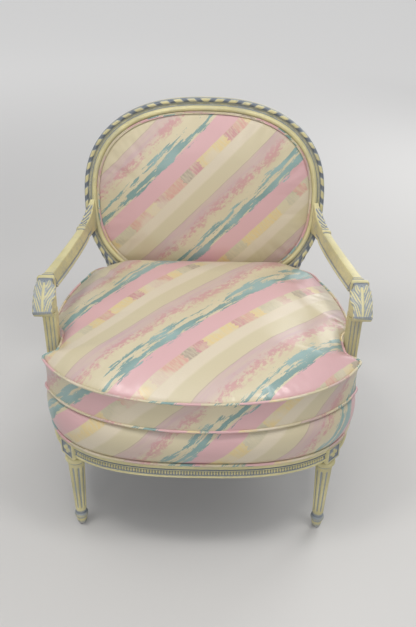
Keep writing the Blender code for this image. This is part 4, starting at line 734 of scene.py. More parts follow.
def oval_section():
    """Rows of (inset, depth, hollow, rod angle); the rod angle is below zero off the ribbon."""
    rows = [(0.0004, 0.0100, 0.35, -1), (0.0004, 0.0052, 0.8, -1), (0.0009, 0.0036, 0.85, -1)]
    for degrees in np.linspace(172, 4, 22):
        angle = math.radians(degrees)
        over, out = ROD_RADIUS * math.cos(angle), ROD_RADIUS * math.sin(angle)
        rows.append((ROD_INSET + over, ROD_DEPTH - out, 0.2, angle))
    for t in np.linspace(0, 1, 9):
        depth = 0.0040 + COVE_DEPTH * math.sin(math.pi * t)
        rows.append((mix(COVE_FROM, COVE_TO, t), depth, COVE_HOLLOW + 0.5 * (abs(t - 0.5) > 0.45), -1))
    rows.append((0.0181, 0.0034, 1.05, -1))
    for t in np.linspace(0, 1, 13):
        crown = math.sin(math.pi * t) ** 0.8
        rows.append((mix(BEAD_FROM, BEAD_TO, t), 0.0030 - BEAD_HEIGHT * crown, 0.5 * (1 - crown) ** 2, -1))
    return np.array(rows + [(*row, -1) for row in RABBETS])


def oval_run(start_deg, end_deg, step):
    """Even points along part of the oval, with the angle of each."""
    degrees = np.linspace(start_deg, end_deg, 1500)
    place = distances(superellipse(degrees, *OVAL))
    stations = np.linspace(0, place[-1], int(round(place[-1] / step)) + 1)
    degrees = np.interp(stations, place, degrees)
    return superellipse(degrees, *OVAL), degrees


half_deg = np.linspace(90, -90, 4000)
half_place = distances(superellipse(half_deg, *OVAL))


def from_crest(degrees):
    """Distance along the oval from the middle of the crest, the same on both sides."""
    folded = 90 - np.abs((degrees - 90 + 180) % 360 - 180)
    return np.interp(-folded, -half_deg, half_place)


print("oval half length", half_place[-1].round(4))


# %% Carve the four lengths
RIBBON_SHARE, RIBBON_BLUR, RIBBON_SLANT, RIBBON_START = 0.55, 0.06, 0.30, 0.30
GLUE_LINE_DEG = 0.02


def carve_oval(name, start_deg, end_deg):
    points, degrees = oval_run(start_deg, end_deg, 0.0026)
    normals = superellipse_normals(points, *OVAL)
    inset, depth, hollow, rod = (np.tile(column, (len(points), 1)) for column in oval_section().T)
    on_rod = rod >= 0
    turns = from_crest(degrees)[:, None] / RIBBON_PITCH + RIBBON_START + RIBBON_SLANT * (0.5 - rod / math.pi)
    f = turns % 1.0
    strip = smooth(0.0, 0.05, f) * fade(RIBBON_SHARE, RIBBON_SHARE + RIBBON_BLUR, f)
    edge = np.exp(-((f - 0.06) / 0.03) ** 2) + np.exp(-((f - RIBBON_SHARE + 0.01) / 0.03) ** 2)
    swell = 0.72 + 0.30 * strip + 0.05 * edge * strip
    inset = np.where(on_rod, ROD_INSET + (inset - ROD_INSET) * swell, inset)
    depth = np.where(on_rod, ROD_DEPTH + (depth - ROD_DEPTH) * swell, depth)
    side_shade = 0.9 * np.abs(np.cos(np.clip(rod, 0, math.pi))) ** 3
    # Between the ribbon's turns the rod gets a hollow past 1, so it takes the darkest blue: the wash with painted
    # shade between the turns.
    hollow = np.where(on_rod, np.maximum(1.08 - 1.08 * strip, side_shade), hollow)
    across = points[:, 0:1] - normals[:, 0:1] * inset
    up = points[:, 1:2] - normals[:, 1:2] * inset
    return skin(name, from_back(across, depth, up), hollow=hollow)


for node_name, start_deg, end_deg in (
    ("back_stile_right", -42, 38), ("crest_rail", 38, 142), ("back_stile_left", 142, 222),
    ("lower_back_rail", 222, 318),
):
    painted(carve_oval(f"carved_{node_name}", start_deg + GLUE_LINE_DEG, end_deg - GLUE_LINE_DEG), node_name)

# %% [markdown]
# ## The seat rail
# The bowed rail is a moulding too: a fillet with a painted line, a sunk channel with a row of pearls, and a
# half-round bead at the bottom. The moulding is swept along the seat plan. The pearls are small turned
# beads, repeated along the same curve at an even pitch.

# %% Rail moulding
CHANNEL_OUT, CHANNEL_MIDDLE = -0.0040, 0.0135
# Out, height over the rail's foot, and hollow: the channel, the painted line, the fillet and the back.
RAIL_ROWS = [
    (-0.0036, 0.0068, 1.0), (CHANNEL_OUT, 0.0085, 0.9), (CHANNEL_OUT, 0.0185, 0.9), (-0.0036, 0.0200, 0.95),
    (-0.0014, 0.0204, 0.5), (-0.0006, 0.0214, 0.25), (-0.0014, 0.0224, 0.5), (-0.0032, 0.0230, 1.05),
    (-0.0032, 0.0262, 1.0), (-0.0004, 0.0270, 0.3), (0.0, 0.0280, 0), (0.0, 0.0345, 0), (-0.0010, 0.0366, 0.2),
    (-0.0025, 0.0370, 0.3), (-0.014, 0.0370, 0), (-0.028, 0.0370, 0), (-0.028, 0.0180, 0)]


def rail_section():
    rows = [(-0.028, 0.0002, 0), (-0.012, 0.0002, 0)]
    for t in np.linspace(0, 1, 10):
        round_out = math.sin(math.pi * t)
        rows.append((-0.0026 + 0.0026 * round_out, mix(0.0003, 0.0064, t), 0.5 * (1 - round_out) ** 2))
    return np.array(rows + RAIL_ROWS) + np.array([0, RAIL_BOTTOM_Z, 0])


def plan_run(start_deg, end_deg, step, side):
    """Even points along part of the seat plan and their normals, on one side or the other."""
    points = resample(plan_points(np.linspace(start_deg, end_deg, 2000)), step)
    flip = np.array([side, 1.0])
    return points * flip, plan_normals(points) * flip


def rail_skin(name, points, normals):
    section = rail_section()
    flat = points[:, None, :] + normals[:, None, :] * section[None, :, 0:1]
    return skin(name, on_plan(flat, section[None, :, 1]), hollow=np.tile(section[:, 2], (len(points), 1)))


print("rail section of", len(rail_section()), "rows")

# %% Pearls and the three rails
PEARL_PITCH, PEARLS_LEFT_OFF = 0.0062, 5
PEARL_OUT, PEARL_HALF_WIDTH, PEARL_HALF_HEIGHT = 0.0034, 0.0023, 0.0050
PEARL_ROWS = np.radians([-88, -55, -20, 20, 55, 88])[:, None]
PEARL_TURNS = np.linspace(0, 2 * math.pi, 9)[:-1]


def pearl_row(name, points, normals):
    """A row of tall pearls along the channel, left off at the two ends."""
    shape = len(PEARL_ROWS), len(PEARL_TURNS)
    outward = CHANNEL_OUT + PEARL_OUT * np.cos(PEARL_ROWS) * np.sin(PEARL_TURNS)
    along = PEARL_HALF_WIDTH * np.cos(PEARL_ROWS) * np.cos(PEARL_TURNS)
    z = RAIL_BOTTOM_Z + CHANNEL_MIDDLE + PEARL_HALF_HEIGHT * np.sin(PEARL_ROWS)
    hollow = np.broadcast_to(0.3 * np.abs(np.sin(PEARL_ROWS)) ** 4, shape).ravel()
    verts, faces, kept = [], [], slice(PEARLS_LEFT_OFF, -PEARLS_LEFT_OFF)
    for point, normal in zip(points[kept], normals[kept]):
        tangent = np.array([-normal[1], normal[0]])
        flat = point + outward[:, :, None] * normal + along[:, :, None] * tangent
        faces += [tuple(len(verts) + k for k in face) for face in grid_faces(*shape)]
        verts += on_plan(flat, z).reshape(-1, 3).tolist()
    piece = new_piece(name, verts, faces, np.tile(hollow, len(points[kept])))
    clean_mesh(piece.data)
    return piece


rear_deg = np.linspace(1, 89, 4000)
from_leg_middle = plan_points(rear_deg)[:, 1] - (REAR_LEG_FRONT_Y + REAR_LEG_WIDTH / 2)
SIDE_END_DEG = float(rear_deg[np.argmin(np.abs(from_leg_middle))])
for node_name, start_deg, end_deg, side in (
    ("front_seat_rail", -180 - BLOCK_DEG, BLOCK_DEG, 1), ("side_seat_rail_right", BLOCK_DEG, SIDE_END_DEG, 1),
    ("side_seat_rail_left", BLOCK_DEG, SIDE_END_DEG, -1),
):
    painted(rail_skin(f"moulded_{node_name}", *plan_run(start_deg, end_deg, 0.004, side)), node_name)
    painted(pearl_row(f"pearls_{node_name}", *plan_run(start_deg, end_deg, PEARL_PITCH, side)))

# %% [markdown]
# ## The front legs
# Each front leg is turned, then fluted with a gouge, and stands under a square block whose face carries a
# carved flower. The turning is a grid round an axis: the radius follows a profile and the flutes are cut
# into it, with round ends. The block's face is a height field with a raised frame, a sunk ground and petals.

# %% Turned and fluted shaft
FLUTES, FLUTE_HALF, FLUTE_DEPTH, FLUTE_END = 8, 0.31, 0.0030, 0.007
FLUTE_LOW, FLUTE_HIGH = 0.056, 0.191
# Z, radius and hollow of the toe, the ankle, the neck and the top, between the rings and the shaft.
TOE = [(0.0060, 0.0004, 0.6), (0.0060, 0.0094, 0.6), (0.0068, 0.0104, 0.60), (0.0140, 0.0117, 0.45),
       (0.0190, 0.0124, 0.05), (0.0220, 0.0126, 0.10), (0.0248, 0.0121, 1.0)]
ANKLE = [(0.0402, 0.0120, 1.0), (0.0450, 0.0119, 0.75), (0.0490, 0.0128, 0.35)]
NECK = [(0.2000, 0.0186, 0.2), (0.2020, 0.0174, 0.7), (0.2038, 0.0170, 0.9)]
LEG_TOP = [(0.2206, 0.0168, 0.9), (0.2226, 0.0170, 0.5), (0.2257, 0.0170, 0.8)]


def leg_profile():
    """Rows of (z, radius, hollow) from the toe to the block."""
    foot_ring = [(0.0325 + 0.0066 * t, 0.0126 + 0.0031 * math.sqrt(1 - t * t), 0.5 + 0.3 * abs(t))
                 for t in np.linspace(-0.92, 0.92, 11)]
    shaft = [(mix(0.0490, 0.1983, t), mix(0.0128, 0.0188, t), 0.05) for t in np.linspace(0, 1, 45)[1:]]
    neck_ring = [(0.2122 + 0.0078 * t, 0.0170 + 0.0070 * math.sqrt(1 - t * t), 0.35 * abs(t) ** 3)
                 for t in np.linspace(-0.95, 0.95, 13)]
    return np.array(TOE + foot_ring + ANKLE + shaft + NECK + neck_ring + LEG_TOP)


def turned_leg(name, side):
    z, radius, hollow = (column[:, None] for column in leg_profile().T)
    turns = np.linspace(0, 2 * math.pi, FLUTES * 14 + 1)[:-1]
    f = (turns[None, :] / (2 * math.pi) * FLUTES) % 1.0 - 0.5
    past_end = np.maximum((FLUTE_LOW + FLUTE_END - z) / FLUTE_END, (z - FLUTE_HIGH + FLUTE_END) / FLUTE_END)
    ends = np.sqrt(np.clip(1 - np.clip(past_end, 0, 1) ** 2, 0, 1))
    ends = np.where((z < FLUTE_LOW) | (z > FLUTE_HIGH), 0, ends)
    bowl = np.sqrt(np.clip(1 - (f / (FLUTE_HALF * np.maximum(ends, 0.05))) ** 2, 0, 1)) * (ends > 0)
    reach = radius - FLUTE_DEPTH * bowl * np.minimum(1, radius / 0.016)
    hollow = np.clip(hollow + 0.72 * smooth(0.62, 0.97, bowl), 0, 1.0)
    grid = np.stack([reach * np.cos(turns), reach * np.sin(turns), np.broadcast_to(z, reach.shape)], axis=2)
    grid += np.array([side * BLOCK_CENTRE[0], BLOCK_CENTRE[1] + SHIFT_Y, 0])
    return skin(name, grid, hollow=hollow)


print("leg profile of", len(leg_profile()), "rows")

# %% Block with its flower
BLOCK_EDGE, FLOWER_REACH, HEART_REACH = 0.0025, 0.66, 0.26
FRAME_HEIGHT, FLOWER_HEIGHT, HEART_HEIGHT, FRAME_ROUNDING = 0.0025, 0.0036, 0.0045, 0.0015


def block_face():
    """Places across and up the block's face, -1 to 1, with the height and the hollow of each."""
    u, v = np.meshgrid(np.linspace(-1, 1, 61), np.linspace(-1, 1, 61), indexing="ij")
    edge = np.maximum(np.abs(u), np.abs(v))
    reach, angle = np.hypot(u, v) / FLOWER_REACH, np.arctan2(v, u)
    vein = np.abs(np.cos(2 * angle))
    lobes = 0.55 + 0.45 * vein
    petal = np.clip(1 - (reach / lobes) ** 6, 0, 1) * (reach < lobes)
    flower = petal * (0.45 + 0.55 * vein) * (0.55 + 0.45 * np.sin(np.clip(reach, 0, 1) * math.pi))
    heart = np.sqrt(np.clip(1 - (reach / HEART_REACH) ** 2, 0, 1))
    ground = fade(0.76, 0.82, edge)
    height = FRAME_HEIGHT * (1 - ground) + ground * np.maximum(FLOWER_HEIGHT * flower, HEART_HEIGHT * heart)
    height -= FRAME_ROUNDING * smooth(0.93, 1.0, edge)
    hollow = ground * np.clip(0.92 - 1.0 * flower - 0.8 * heart, 0.15, 0.92)
    hollow += 0.5 * np.exp(-((edge - 0.79) / 0.03) ** 2)
    return u, v, np.where(edge > 0.99, -0.0075, height - FRAME_HEIGHT), hollow


def leg_block(name, side):
    """The square block with its carved face; the face looks out along the plan's normal."""
    half, half_z = BLOCK_WIDTH / 2, (RAIL_TOP_Z - BLOCK_BOTTOM_Z) / 2
    out = np.array([side * BLOCK_OUT[0], BLOCK_OUT[1]])
    right = np.array([-out[1], out[0]])
    base = np.array([side * BLOCK_CENTRE[0], BLOCK_CENTRE[1] + SHIFT_Y])
    middle_z = (RAIL_TOP_Z + BLOCK_BOTTOM_Z) / 2

    def put(outward, across, up):
        flat = base + outward[..., None] * out + across[..., None] * right
        return np.concatenate([flat, (middle_z + up)[..., None]], axis=-1)

    u, v, height, hollow = block_face()
    plate = skin(f"{name}_face", put(half + height, u * half, v * half_z), wrap=False, hollow=hollow)
    turns = np.linspace(0, 2 * math.pi, 65)[:-1]
    ring_x, ring_y = np.cos(turns), np.sin(turns)
    scale = 1 / (np.abs(ring_x) ** 14 + np.abs(ring_y) ** 14) ** (1 / 14)
    body = [put((half - shrink) * ring_x * scale - 0.0050, (half - shrink) * ring_y * scale, np.full(64, z))
            for z, shrink in ((-half_z, BLOCK_EDGE), (-half_z + BLOCK_EDGE * 0.4, BLOCK_EDGE * 0.3),
                              (-half_z + BLOCK_EDGE, 0), (half_z - 0.001, 0), (half_z, 0.001))]
    return joined([plate, skin(f"{name}_body", np.array(body))], name)


for side_name, side in SIDES:
    leg = turned_leg(f"turned_leg_{side_name}", side)
    block = leg_block(f"leg_block_{side_name}", side)
    painted(joined([leg, block], f"carved_front_leg_{side_name}"), f"front_leg_{side_name}")

# %% [markdown]
# ## The arm posts
# A post is square, a little narrower at its foot, with three grooves down each face. On the real chair they
# are cut with a scratch stock before the post is glued in. The grooves hold the wash and the ridges stay cream.


# %% Square sections and carving
def section_square(count):
    """Unit square places round a section, count to a side: top, left, bottom, right."""
    t = np.arange(count) / count * 2 - 1
    one = np.ones(count)
    return np.concatenate([-t, -one, t, one]), np.concatenate([one, -t, -one, t])


def round_off(grid):
    """Softens the corners of every section by averaging neighbours round it, twice."""
    for _ in range(2):
        grid = (np.roll(grid, 1, axis=1) + 2 * grid + np.roll(grid, -1, axis=1)) / 4
    return grid


def carve(grid, height):
    """Pushes each point out along the surface, by the height given for it."""
    around = (np.roll(grid, -1, axis=1) - np.roll(grid, 1, axis=1)) / 2
    normals = np.cross(np.gradient(grid, axis=0), around)
    normals = normals / np.maximum(np.linalg.norm(normals, axis=2, keepdims=True), 1e-12)
    outward = np.sum(normals * (grid - grid.mean(axis=1, keepdims=True)))
    return grid + normals * np.sign(outward) * height[:, :, None]


def placed(grid, side):
    """A grid drawn for the right side, put on its side of the chair."""
    return grid * np.array([side, 1.0, 1.0]) + np.array([0, SHIFT_Y, 0])


print("carving helpers ready")

# %% Reeded posts
POST_FOOT, POST_HEAD, POST_OUT = 0.0258, 0.0292, 0.0022
GROOVES_AT, GROOVE_HALF, GROOVE_DEPTH = np.array([-0.56, 0.0, 0.56]), 0.135, 0.0013


def reeded_post(name, side):
    a, b = section_square(36)
    z = np.concatenate([np.linspace(RAIL_TOP_Z, RAIL_TOP_Z + 0.03, 16),
                        np.linspace(RAIL_TOP_Z + 0.034, POST_TOP_Z - 0.03, 40),
                        np.linspace(POST_TOP_Z - 0.028, POST_TOP_Z, 16)])[:, None]
    half = mix(POST_FOOT, POST_HEAD, (z - RAIL_TOP_Z) / (POST_TOP_Z - RAIL_TOP_Z)) / 2
    grid = np.stack(np.broadcast_arrays(half * a, half * b, z), axis=2).copy()
    grid[:, :, :2] = round_off(grid[:, :, :2])
    along_face = np.where(np.abs(b) == 1, a, b)
    near = np.min(np.abs(along_face[None, :] - GROOVES_AT[:, None]), axis=0)
    groove = np.sqrt(np.clip(1 - (near / GROOVE_HALF) ** 2, 0, 1))[None, :]
    groove = groove * (smooth(RAIL_TOP_Z + 0.012, RAIL_TOP_Z + 0.018, z)
                       * fade(POST_TOP_Z - 0.010, POST_TOP_Z - 0.004, z))
    grid = carve(grid, -GROOVE_DEPTH * groove)
    grid += np.array([side * (POST_X + POST_OUT), POST_Y + SHIFT_Y, 0])
    return skin(name, grid, hollow=0.66 * smooth(0.58, 0.98, groove))


for side_name, side in SIDES:
    painted(reeded_post(f"reeded_post_{side_name}", side), f"arm_post_{side_name}")

# %% [markdown]
# ## The arms
# An arm leaves the back with a swept shoulder, passes a collar, runs level, passes a second collar and turns
# down over its post in a scroll with an acanthus leaf. The whole arm is one grid of rounded oblong sections.
# The course of the arm gives each section its place and size. The leaf is a height on that surface: a rib
# down the middle, and lobes that rise from it in curved ridges with fine veins.

# %% Course of the arm
MOULDING_WIDTH, MOULDING_PROUD = 0.028, 0.002
UNDER_ARM_Z = POST_TOP_Z + GLUE_GAP
REAR_COLLAR_Y, FRONT_COLLAR_Y = 0.440, 0.195
SCROLL_Y, LIP_Y = 0.185, POST_Y - 0.034
ARM_REAR_WIDTH, ARM_FRONT_WIDTH, SCROLL_SPREAD = 0.027, 0.033, 0.008
SHOULDER_RISE, SHOULDER_DROP, ARM_BELLY = 0.035, 0.014, 0.004
LIP_THICKNESS, LIP_LIFT, SCROLL_TURN_IN = 0.012, 0.0036, 0.0028


def curve(knots, values, at):
    """A smooth curve through points, without overshoot at flat ends."""
    knots, values = np.asarray(knots, float), np.asarray(values, float)
    slopes = np.gradient(values, knots)
    rise = np.diff(values) / np.diff(knots)
    for i in range(1, len(knots) - 1):
        if rise[i - 1] * rise[i] <= 0:
            slopes[i] = 0.0
        else:
            slopes[i] = np.sign(slopes[i]) * min(abs(slopes[i]), 3 * abs(rise[i - 1]), 3 * abs(rise[i]))
    at = np.clip(at, knots[0], knots[-1])
    i = np.clip(np.searchsorted(knots, at, side="right") - 1, 0, len(knots) - 2)
    width = knots[i + 1] - knots[i]
    t = (at - knots[i]) / width
    return ((1 + 2 * t) * (1 - t) ** 2 * values[i] + t * (1 - t) ** 2 * width * slopes[i]
            + t * t * (3 - 2 * t) * values[i + 1] + t * t * (t - 1) * width * slopes[i + 1])


def oval_half_width_at(z):
    up = np.clip(np.abs(z - OVAL_CENTRE_Z) / math.cos(RAKE) / OVAL_HALF_HEIGHT, 0, 1)
    return OVAL_HALF_WIDTH * (1 - up ** OVAL_FULLNESS) ** (1 / OVAL_FULLNESS)


ARM_START_Y = back_plane_y(ARM_TOP_Z) - (MOULDING_PROUD + GLUE_GAP) / math.cos(RAKE)
STILE_X = oval_half_width_at(ARM_TOP_Z) - MOULDING_WIDTH / 2
ARM_FRONT_X = POST_X + 0.014
ARM_REAR_X = mix(STILE_X, ARM_FRONT_X, 0.19)
FALL_AT = (0.0, 0.12, 0.35, 0.6, 0.8, 0.94, 1.0)
FALL_DROP, FALL_SPREAD = (0, 0.02, 0.12, 0.34, 0.6, 0.86, 1), (0, 0.25, 0.8, 1, 1, 0.9, 0.8)


def arm_course(y):
    """Middle, width, top and bottom of the right arm where it passes y."""
    shoulder = np.clip((ARM_START_Y - y) / (ARM_START_Y - REAR_COLLAR_Y - 0.010), 0, 1)
    level = np.clip((REAR_COLLAR_Y - y) / (REAR_COLLAR_Y - FRONT_COLLAR_Y), 0, 1)
    scroll = np.clip((SCROLL_Y - y) / (SCROLL_Y - LIP_Y), 0, 1)
    x = mix(STILE_X, ARM_REAR_X, shoulder) + (ARM_FRONT_X - ARM_REAR_X) * level ** 1.15
    x -= SCROLL_TURN_IN * scroll
    width = mix(ARM_REAR_WIDTH, ARM_FRONT_WIDTH, level) + SCROLL_SPREAD * curve(FALL_AT, FALL_SPREAD, scroll)
    low = ARM_TOP_Z - ARM_DEPTH - ARM_BELLY * np.sin(math.pi * level) ** 0.5
    top = ARM_TOP_Z + SHOULDER_RISE * (1 - shoulder) ** 2.2
    top = mix(top, UNDER_ARM_Z + LIP_THICKNESS, curve(FALL_AT, FALL_DROP, scroll))
    bottom = mix(low - SHOULDER_DROP * (1 - shoulder), UNDER_ARM_Z, np.clip(scroll / 0.3, 0, 1))
    return x, width, top, bottom + LIP_LIFT * np.clip((scroll - 0.9) / 0.1, 0, 1)


print("arm from y", round(ARM_START_Y, 4), "to", LIP_Y)

# %% Surface of the arm
# Stations along the arm: closer together at the two collars and on the scroll.
ARM_Y = np.concatenate([
    np.linspace(ARM_START_Y, 0.4505, 40), np.linspace(0.4495, 0.4305, 40), np.linspace(0.4285, 0.2185, 100),
    np.linspace(0.2175, 0.1855, 64), np.linspace(0.1845, LIP_Y, 78)])[:, None]
SECTION_ROUNDING, BLADE_RUN, LEAN_RUN = 0.17, 0.075, 0.025


def line_at(value, middle, half, blur=0.0006):
    """1 on a line of some half width, 0 off it."""
    low, high = middle - half, middle + half
    return smooth(low - blur, low + blur, value) * fade(high - blur, high + blur, value)


def arm_surface(y, a, b):
    """The plain arm: its sides slope on the level run, and it thins to a blade up the stile."""
    x, width, top, bottom = arm_course(y)
    across = a * np.sqrt(1 - SECTION_ROUNDING * b * b / 2)
    up = b * np.sqrt(1 - SECTION_ROUNDING * a * a / 2)
    tall = (up + 1) / 2
    level_run = smooth(0.203, 0.213, y) * fade(0.450, 0.515, y)
    slope = np.where(a < 0, mix(1.22, 0.52, tall), mix(0.90, 0.74, tall))
    across = across * mix(1.0, slope, level_run)
    across = across * (1 + 0.30 * line_at(y, POST_Y + 0.004, 0.016, 0.006) * (a < 0))
    blade = (1 - np.clip((ARM_START_Y - y) / BLADE_RUN, 0, 1)) ** 1.5 * smooth(0.0, 1.0, up)
    across = across * (1 - 0.55 * blade) - 0.35 * blade
    z = (top + bottom) / 2 + up * (top - bottom) / 2
    leaning = 1 - np.clip((ARM_START_Y - y) / LEAN_RUN, 0, 1)
    depth = y + leaning * (z - ARM_TOP_Z) * math.tan(RAKE)
    return round_off(np.stack(np.broadcast_arrays(x + across * width / 2, depth, z), axis=2))


print("arm stations", len(ARM_Y))


# %% Collars and leaf
# Place along the arm and half width of each; the bands also have a height and a blur.
COLLAR_BANDS = ((0.0, 0.0042, 0.0036, 0.0012), (0.0152, 0.0018, 0.0008, 0.0006))
COLLAR_LINES = ((-0.0066, 0.0018), (0.0120, 0.0014), (0.0188, 0.0012))


def collar_at(y, middle):
    """Height and wash of a collar: a band, a finer one behind it, and lines beside both."""
    height = sum(tall * line_at(y, middle + place, half, blur) for place, half, tall, blur in COLLAR_BANDS)
    return height, 1.1 * sum(line_at(y, middle + place, half) for place, half in COLLAR_LINES)


def leaf_at(v, across):
    """The acanthus leaf: v runs from the collar (0) to the lip (1), across is 0 on the middle rib."""
    reach = np.abs(across)
    outer_side = smooth(-1.20, -1.05, across)
    tip = 0.06 + 0.10 * np.abs((reach * 1.5 + 0.5) % 1.0 * 2 - 1)
    inside = smooth(tip - 0.02, tip + 0.02, v) * fade(1.5, 1.75, reach) * outer_side
    lobe = (3.1 * v + 1.05 * reach ** 1.25 + 0.25) % 1.0
    vein = (0.5 + 0.5 * np.cos(2 * math.pi * (6.2 * v + 3.9 * reach ** 1.1))) ** 1.3
    leaflet = np.sqrt(np.sin(math.pi * lobe)) * (0.10 + 0.90 * vein) * smooth(0.10, 0.22, reach)
    rib = np.exp(-(across / 0.13) ** 2) * smooth(0.16, 0.26, v)
    relief = np.maximum(leaflet, 1.15 * rib)
    height = inside * (0.0006 + 0.0017 * relief)
    behind = (v > 0) * fade(1.75, 1.9, reach) * outer_side * (1 - inside)
    wash = inside * np.clip(1.0 - 1.35 * relief, 0, 1.0) + 0.95 * behind * (v < 0.4)
    return height, np.maximum(wash, line_at(v, 0.985, 0.010, 0.008))


print("collars at y", REAR_COLLAR_Y, "and", FRONT_COLLAR_Y)

# %% Carve the arms
PANEL_FRONT_Y, PANEL_REAR_Y, INNER_PANEL_REAR_Y = 0.208, 0.429, 0.478
PANEL_LINES_Y, PANEL_LINE_HALF = (0.4270, 0.2110), 0.0014
SPRIG_Y, SPRIG_RUN = 0.453, 0.068
LEAF_Y = SCROLL_Y + 0.002


def arm_carving(y, a, b):
    """Height and wash of all that is cut into the arm: collars, leaf, side panels and a sprig, and painted shade
    on the inner face.
    """
    a, b = a[None, :], b[None, :]
    over = np.where(b == 1, a, np.sign(a) * (1 + (1 - b) * 0.55))
    on_side, inner = np.abs(a) == 1, a == -1
    on_top_or_side = (b > -0.98) | on_side
    on_top_or_outside = ((b == 1) | (a > 0)) * (b > -0.98)
    rear_height, rear_wash = collar_at(y, REAR_COLLAR_Y)
    front_height, front_wash = collar_at(y, FRONT_COLLAR_Y)
    leaf_height, leaf_wash = leaf_at((LEAF_Y - y) / (LEAF_Y - LIP_Y), over)
    panel_rear = np.where(inner, INNER_PANEL_REAR_Y, PANEL_REAR_Y)
    panel_run = smooth(PANEL_FRONT_Y - 0.001, PANEL_FRONT_Y + 0.001, y)
    panel_run = panel_run * fade(panel_rear - 0.001, panel_rear + 0.001, y)
    rear_line, front_line = (line_at(y, place, PANEL_LINE_HALF) for place in PANEL_LINES_Y)
    upright_lines = line_at(b, 0.12, 0.60, 0.03) * np.maximum(rear_line * ~inner, front_line)
    side_line = np.maximum(line_at(b, -0.52, 0.12, 0.05) * panel_run, upright_lines) * on_side
    low_bead = line_at(b, -0.80, 0.10, 0.06) * panel_run * on_side
    sprig_v = np.clip((y - SPRIG_Y) / SPRIG_RUN, 0, 1)
    sprig_on = smooth(0.0, 0.08, sprig_v) * fade(0.90, 1.0, sprig_v) * line_at(over, 0.62, 1.30, 0.10)
    sprig = 0.5 + 0.5 * np.cos(2 * math.pi * (4.2 * sprig_v - 1.1 * np.abs(over - 0.7)))
    height = (rear_height * on_top_or_outside + front_height * on_top_or_side + leaf_height
              - 0.0014 * side_line + 0.0010 * low_bead + 0.0020 * sprig * sprig_on)
    # The inner face is painted a little greyer than the rest of the arm: painted shade, since that face is turned
    # away from the lamps.
    inner_face_shade = 0.30 * (inner & (b < 0.8)) * np.ones_like(y)
    wash = np.maximum.reduce([
        rear_wash * on_top_or_outside, front_wash * on_top_or_side, leaf_wash, 0.85 * side_line, inner_face_shade,
        sprig_on * np.clip(0.95 - 1.1 * smooth(0.55, 0.92, sprig), 0, 1)])
    return height, wash


for side_name, side in SIDES:
    a, b = section_square(26)
    height, wash = arm_carving(ARM_Y, a, b)
    arm_grid = placed(carve(arm_surface(ARM_Y, a, b), height), side)
    painted(skin(f"carved_arm_{side_name}", arm_grid, hollow=wash), f"arm_{side_name}")

# %% [markdown]
# ## The rear legs
# A rear leg is sawn from one thick board: it kicks back at the foot, stands square behind the rail, and
# leans with the back above it, where it is glued beside the oval and carved with overlapping leaves. It is
# a loft of rounded squares. The leaves are again a height on its upper part.

# %% Rear legs
REAR_LEG_X, REAR_LEG_Y, REAR_KICK, REAR_FOOT_HALF = 0.2375, 0.498, 0.058, 0.012
REAR_FOOT_Z, UPRIGHT_TOP_Z = 0.006, 0.512
UPRIGHT_AT = (0.270, 0.360, 0.430, 0.470, UPRIGHT_TOP_Z)
UPRIGHT_OUTER = (0.2535, 0.2525, 0.2525, 0.2680, 0.2880)
UPRIGHT_BEHIND, UPRIGHT_HALF_DEPTH, UPRIGHT_WIDTH = 0.0132, 0.0115, 0.030
FOOT_IN, SETTLE_RUN, FLARE_RUN = 0.006, 0.060, 0.02
LEAVES_FROM, LEAF_PITCH, LEAF_HEIGHT = 0.37, 0.021, 0.0016


def rear_leg_course(z):
    """Inner and outer x, and the front and rear y of the right rear leg at a height."""
    rise = np.clip((z - REAR_FOOT_Z) / (RAIL_BOTTOM_Z - 0.008), 0, 1)
    bend = 1 - (1 - rise) ** 1.4
    half = mix(REAR_FOOT_HALF, REAR_LEG_WIDTH / 2, bend)
    x, y = mix(REAR_LEG_X - FOOT_IN, REAR_LEG_X, bend), mix(REAR_LEG_Y + REAR_KICK, REAR_LEG_Y, bend)
    settle = smooth(RAIL_TOP_Z, RAIL_TOP_Z + SETTLE_RUN, z)
    y = mix(y, back_plane_y(z) + UPRIGHT_BEHIND, settle)
    depth = mix(half, UPRIGHT_HALF_DEPTH, settle)
    above = smooth(RAIL_TOP_Z, RAIL_TOP_Z + FLARE_RUN, z)
    outer = mix(x + half, curve(UPRIGHT_AT, UPRIGHT_OUTER, z), above)
    under_oval = np.minimum(oval_half_width_at(z) - 0.007, outer - 0.004)
    inner = mix(x - half, np.maximum(outer - UPRIGHT_WIDTH, under_oval), above)
    return inner, outer, y - depth, y + depth


def carved_rear_leg(name, side):
    z = np.concatenate([np.linspace(REAR_FOOT_Z, RAIL_TOP_Z, 60),
                        np.linspace(RAIL_TOP_Z + 0.002, UPRIGHT_TOP_Z, 100)])[:, None]
    a, b = section_square(20)
    inner, outer, front, rear = rear_leg_course(z)
    x, y = (inner + outer) / 2 + a * (outer - inner) / 2, (front + rear) / 2 + b * (rear - front) / 2
    grid = round_off(np.stack(np.broadcast_arrays(x, y, z), axis=2))
    leaf_run = smooth(0.375, 0.390, z) * fade(0.500, UPRIGHT_TOP_Z, z) * ((b == -1) | (a == 1))[None, :]
    around = np.where(b == -1, a, 1 + (b + 1) / 2)[None, :]
    leaf = 0.5 + 0.5 * np.cos(2 * math.pi * ((z - LEAVES_FROM) / LEAF_PITCH - 0.8 * np.abs(around - 0.6)))
    wash = leaf_run * np.clip(1.15 - 0.9 * leaf ** 3, 0.2, 1.1)
    return skin(name, placed(carve(grid, LEAF_HEIGHT * leaf * leaf_run), side), hollow=wash)


for side_name, side in SIDES:
    painted(carved_rear_leg(f"carved_rear_leg_{side_name}", side), f"rear_leg_{side_name}")

# %% [markdown]
# ## Cloth pieces
# Each soft piece is cut as panels of even triangles and open strips, a little slimmer than the stuffed form.
# Blender's Cloth then blows it up from inside while the seams are held, which gives the soft swell between
# seams that a drawn curve lacks. The move is capped, so the piece stays near its solid. The welts are thin
# tubes laid along the seams.

# %% Tubes and loops
TUBE_SIDES, NO_SHARP_EDGES_DEG = 10, 170


def loop_ahead(points):
    return np.roll(points, -1, axis=0) - np.roll(points, 1, axis=0)


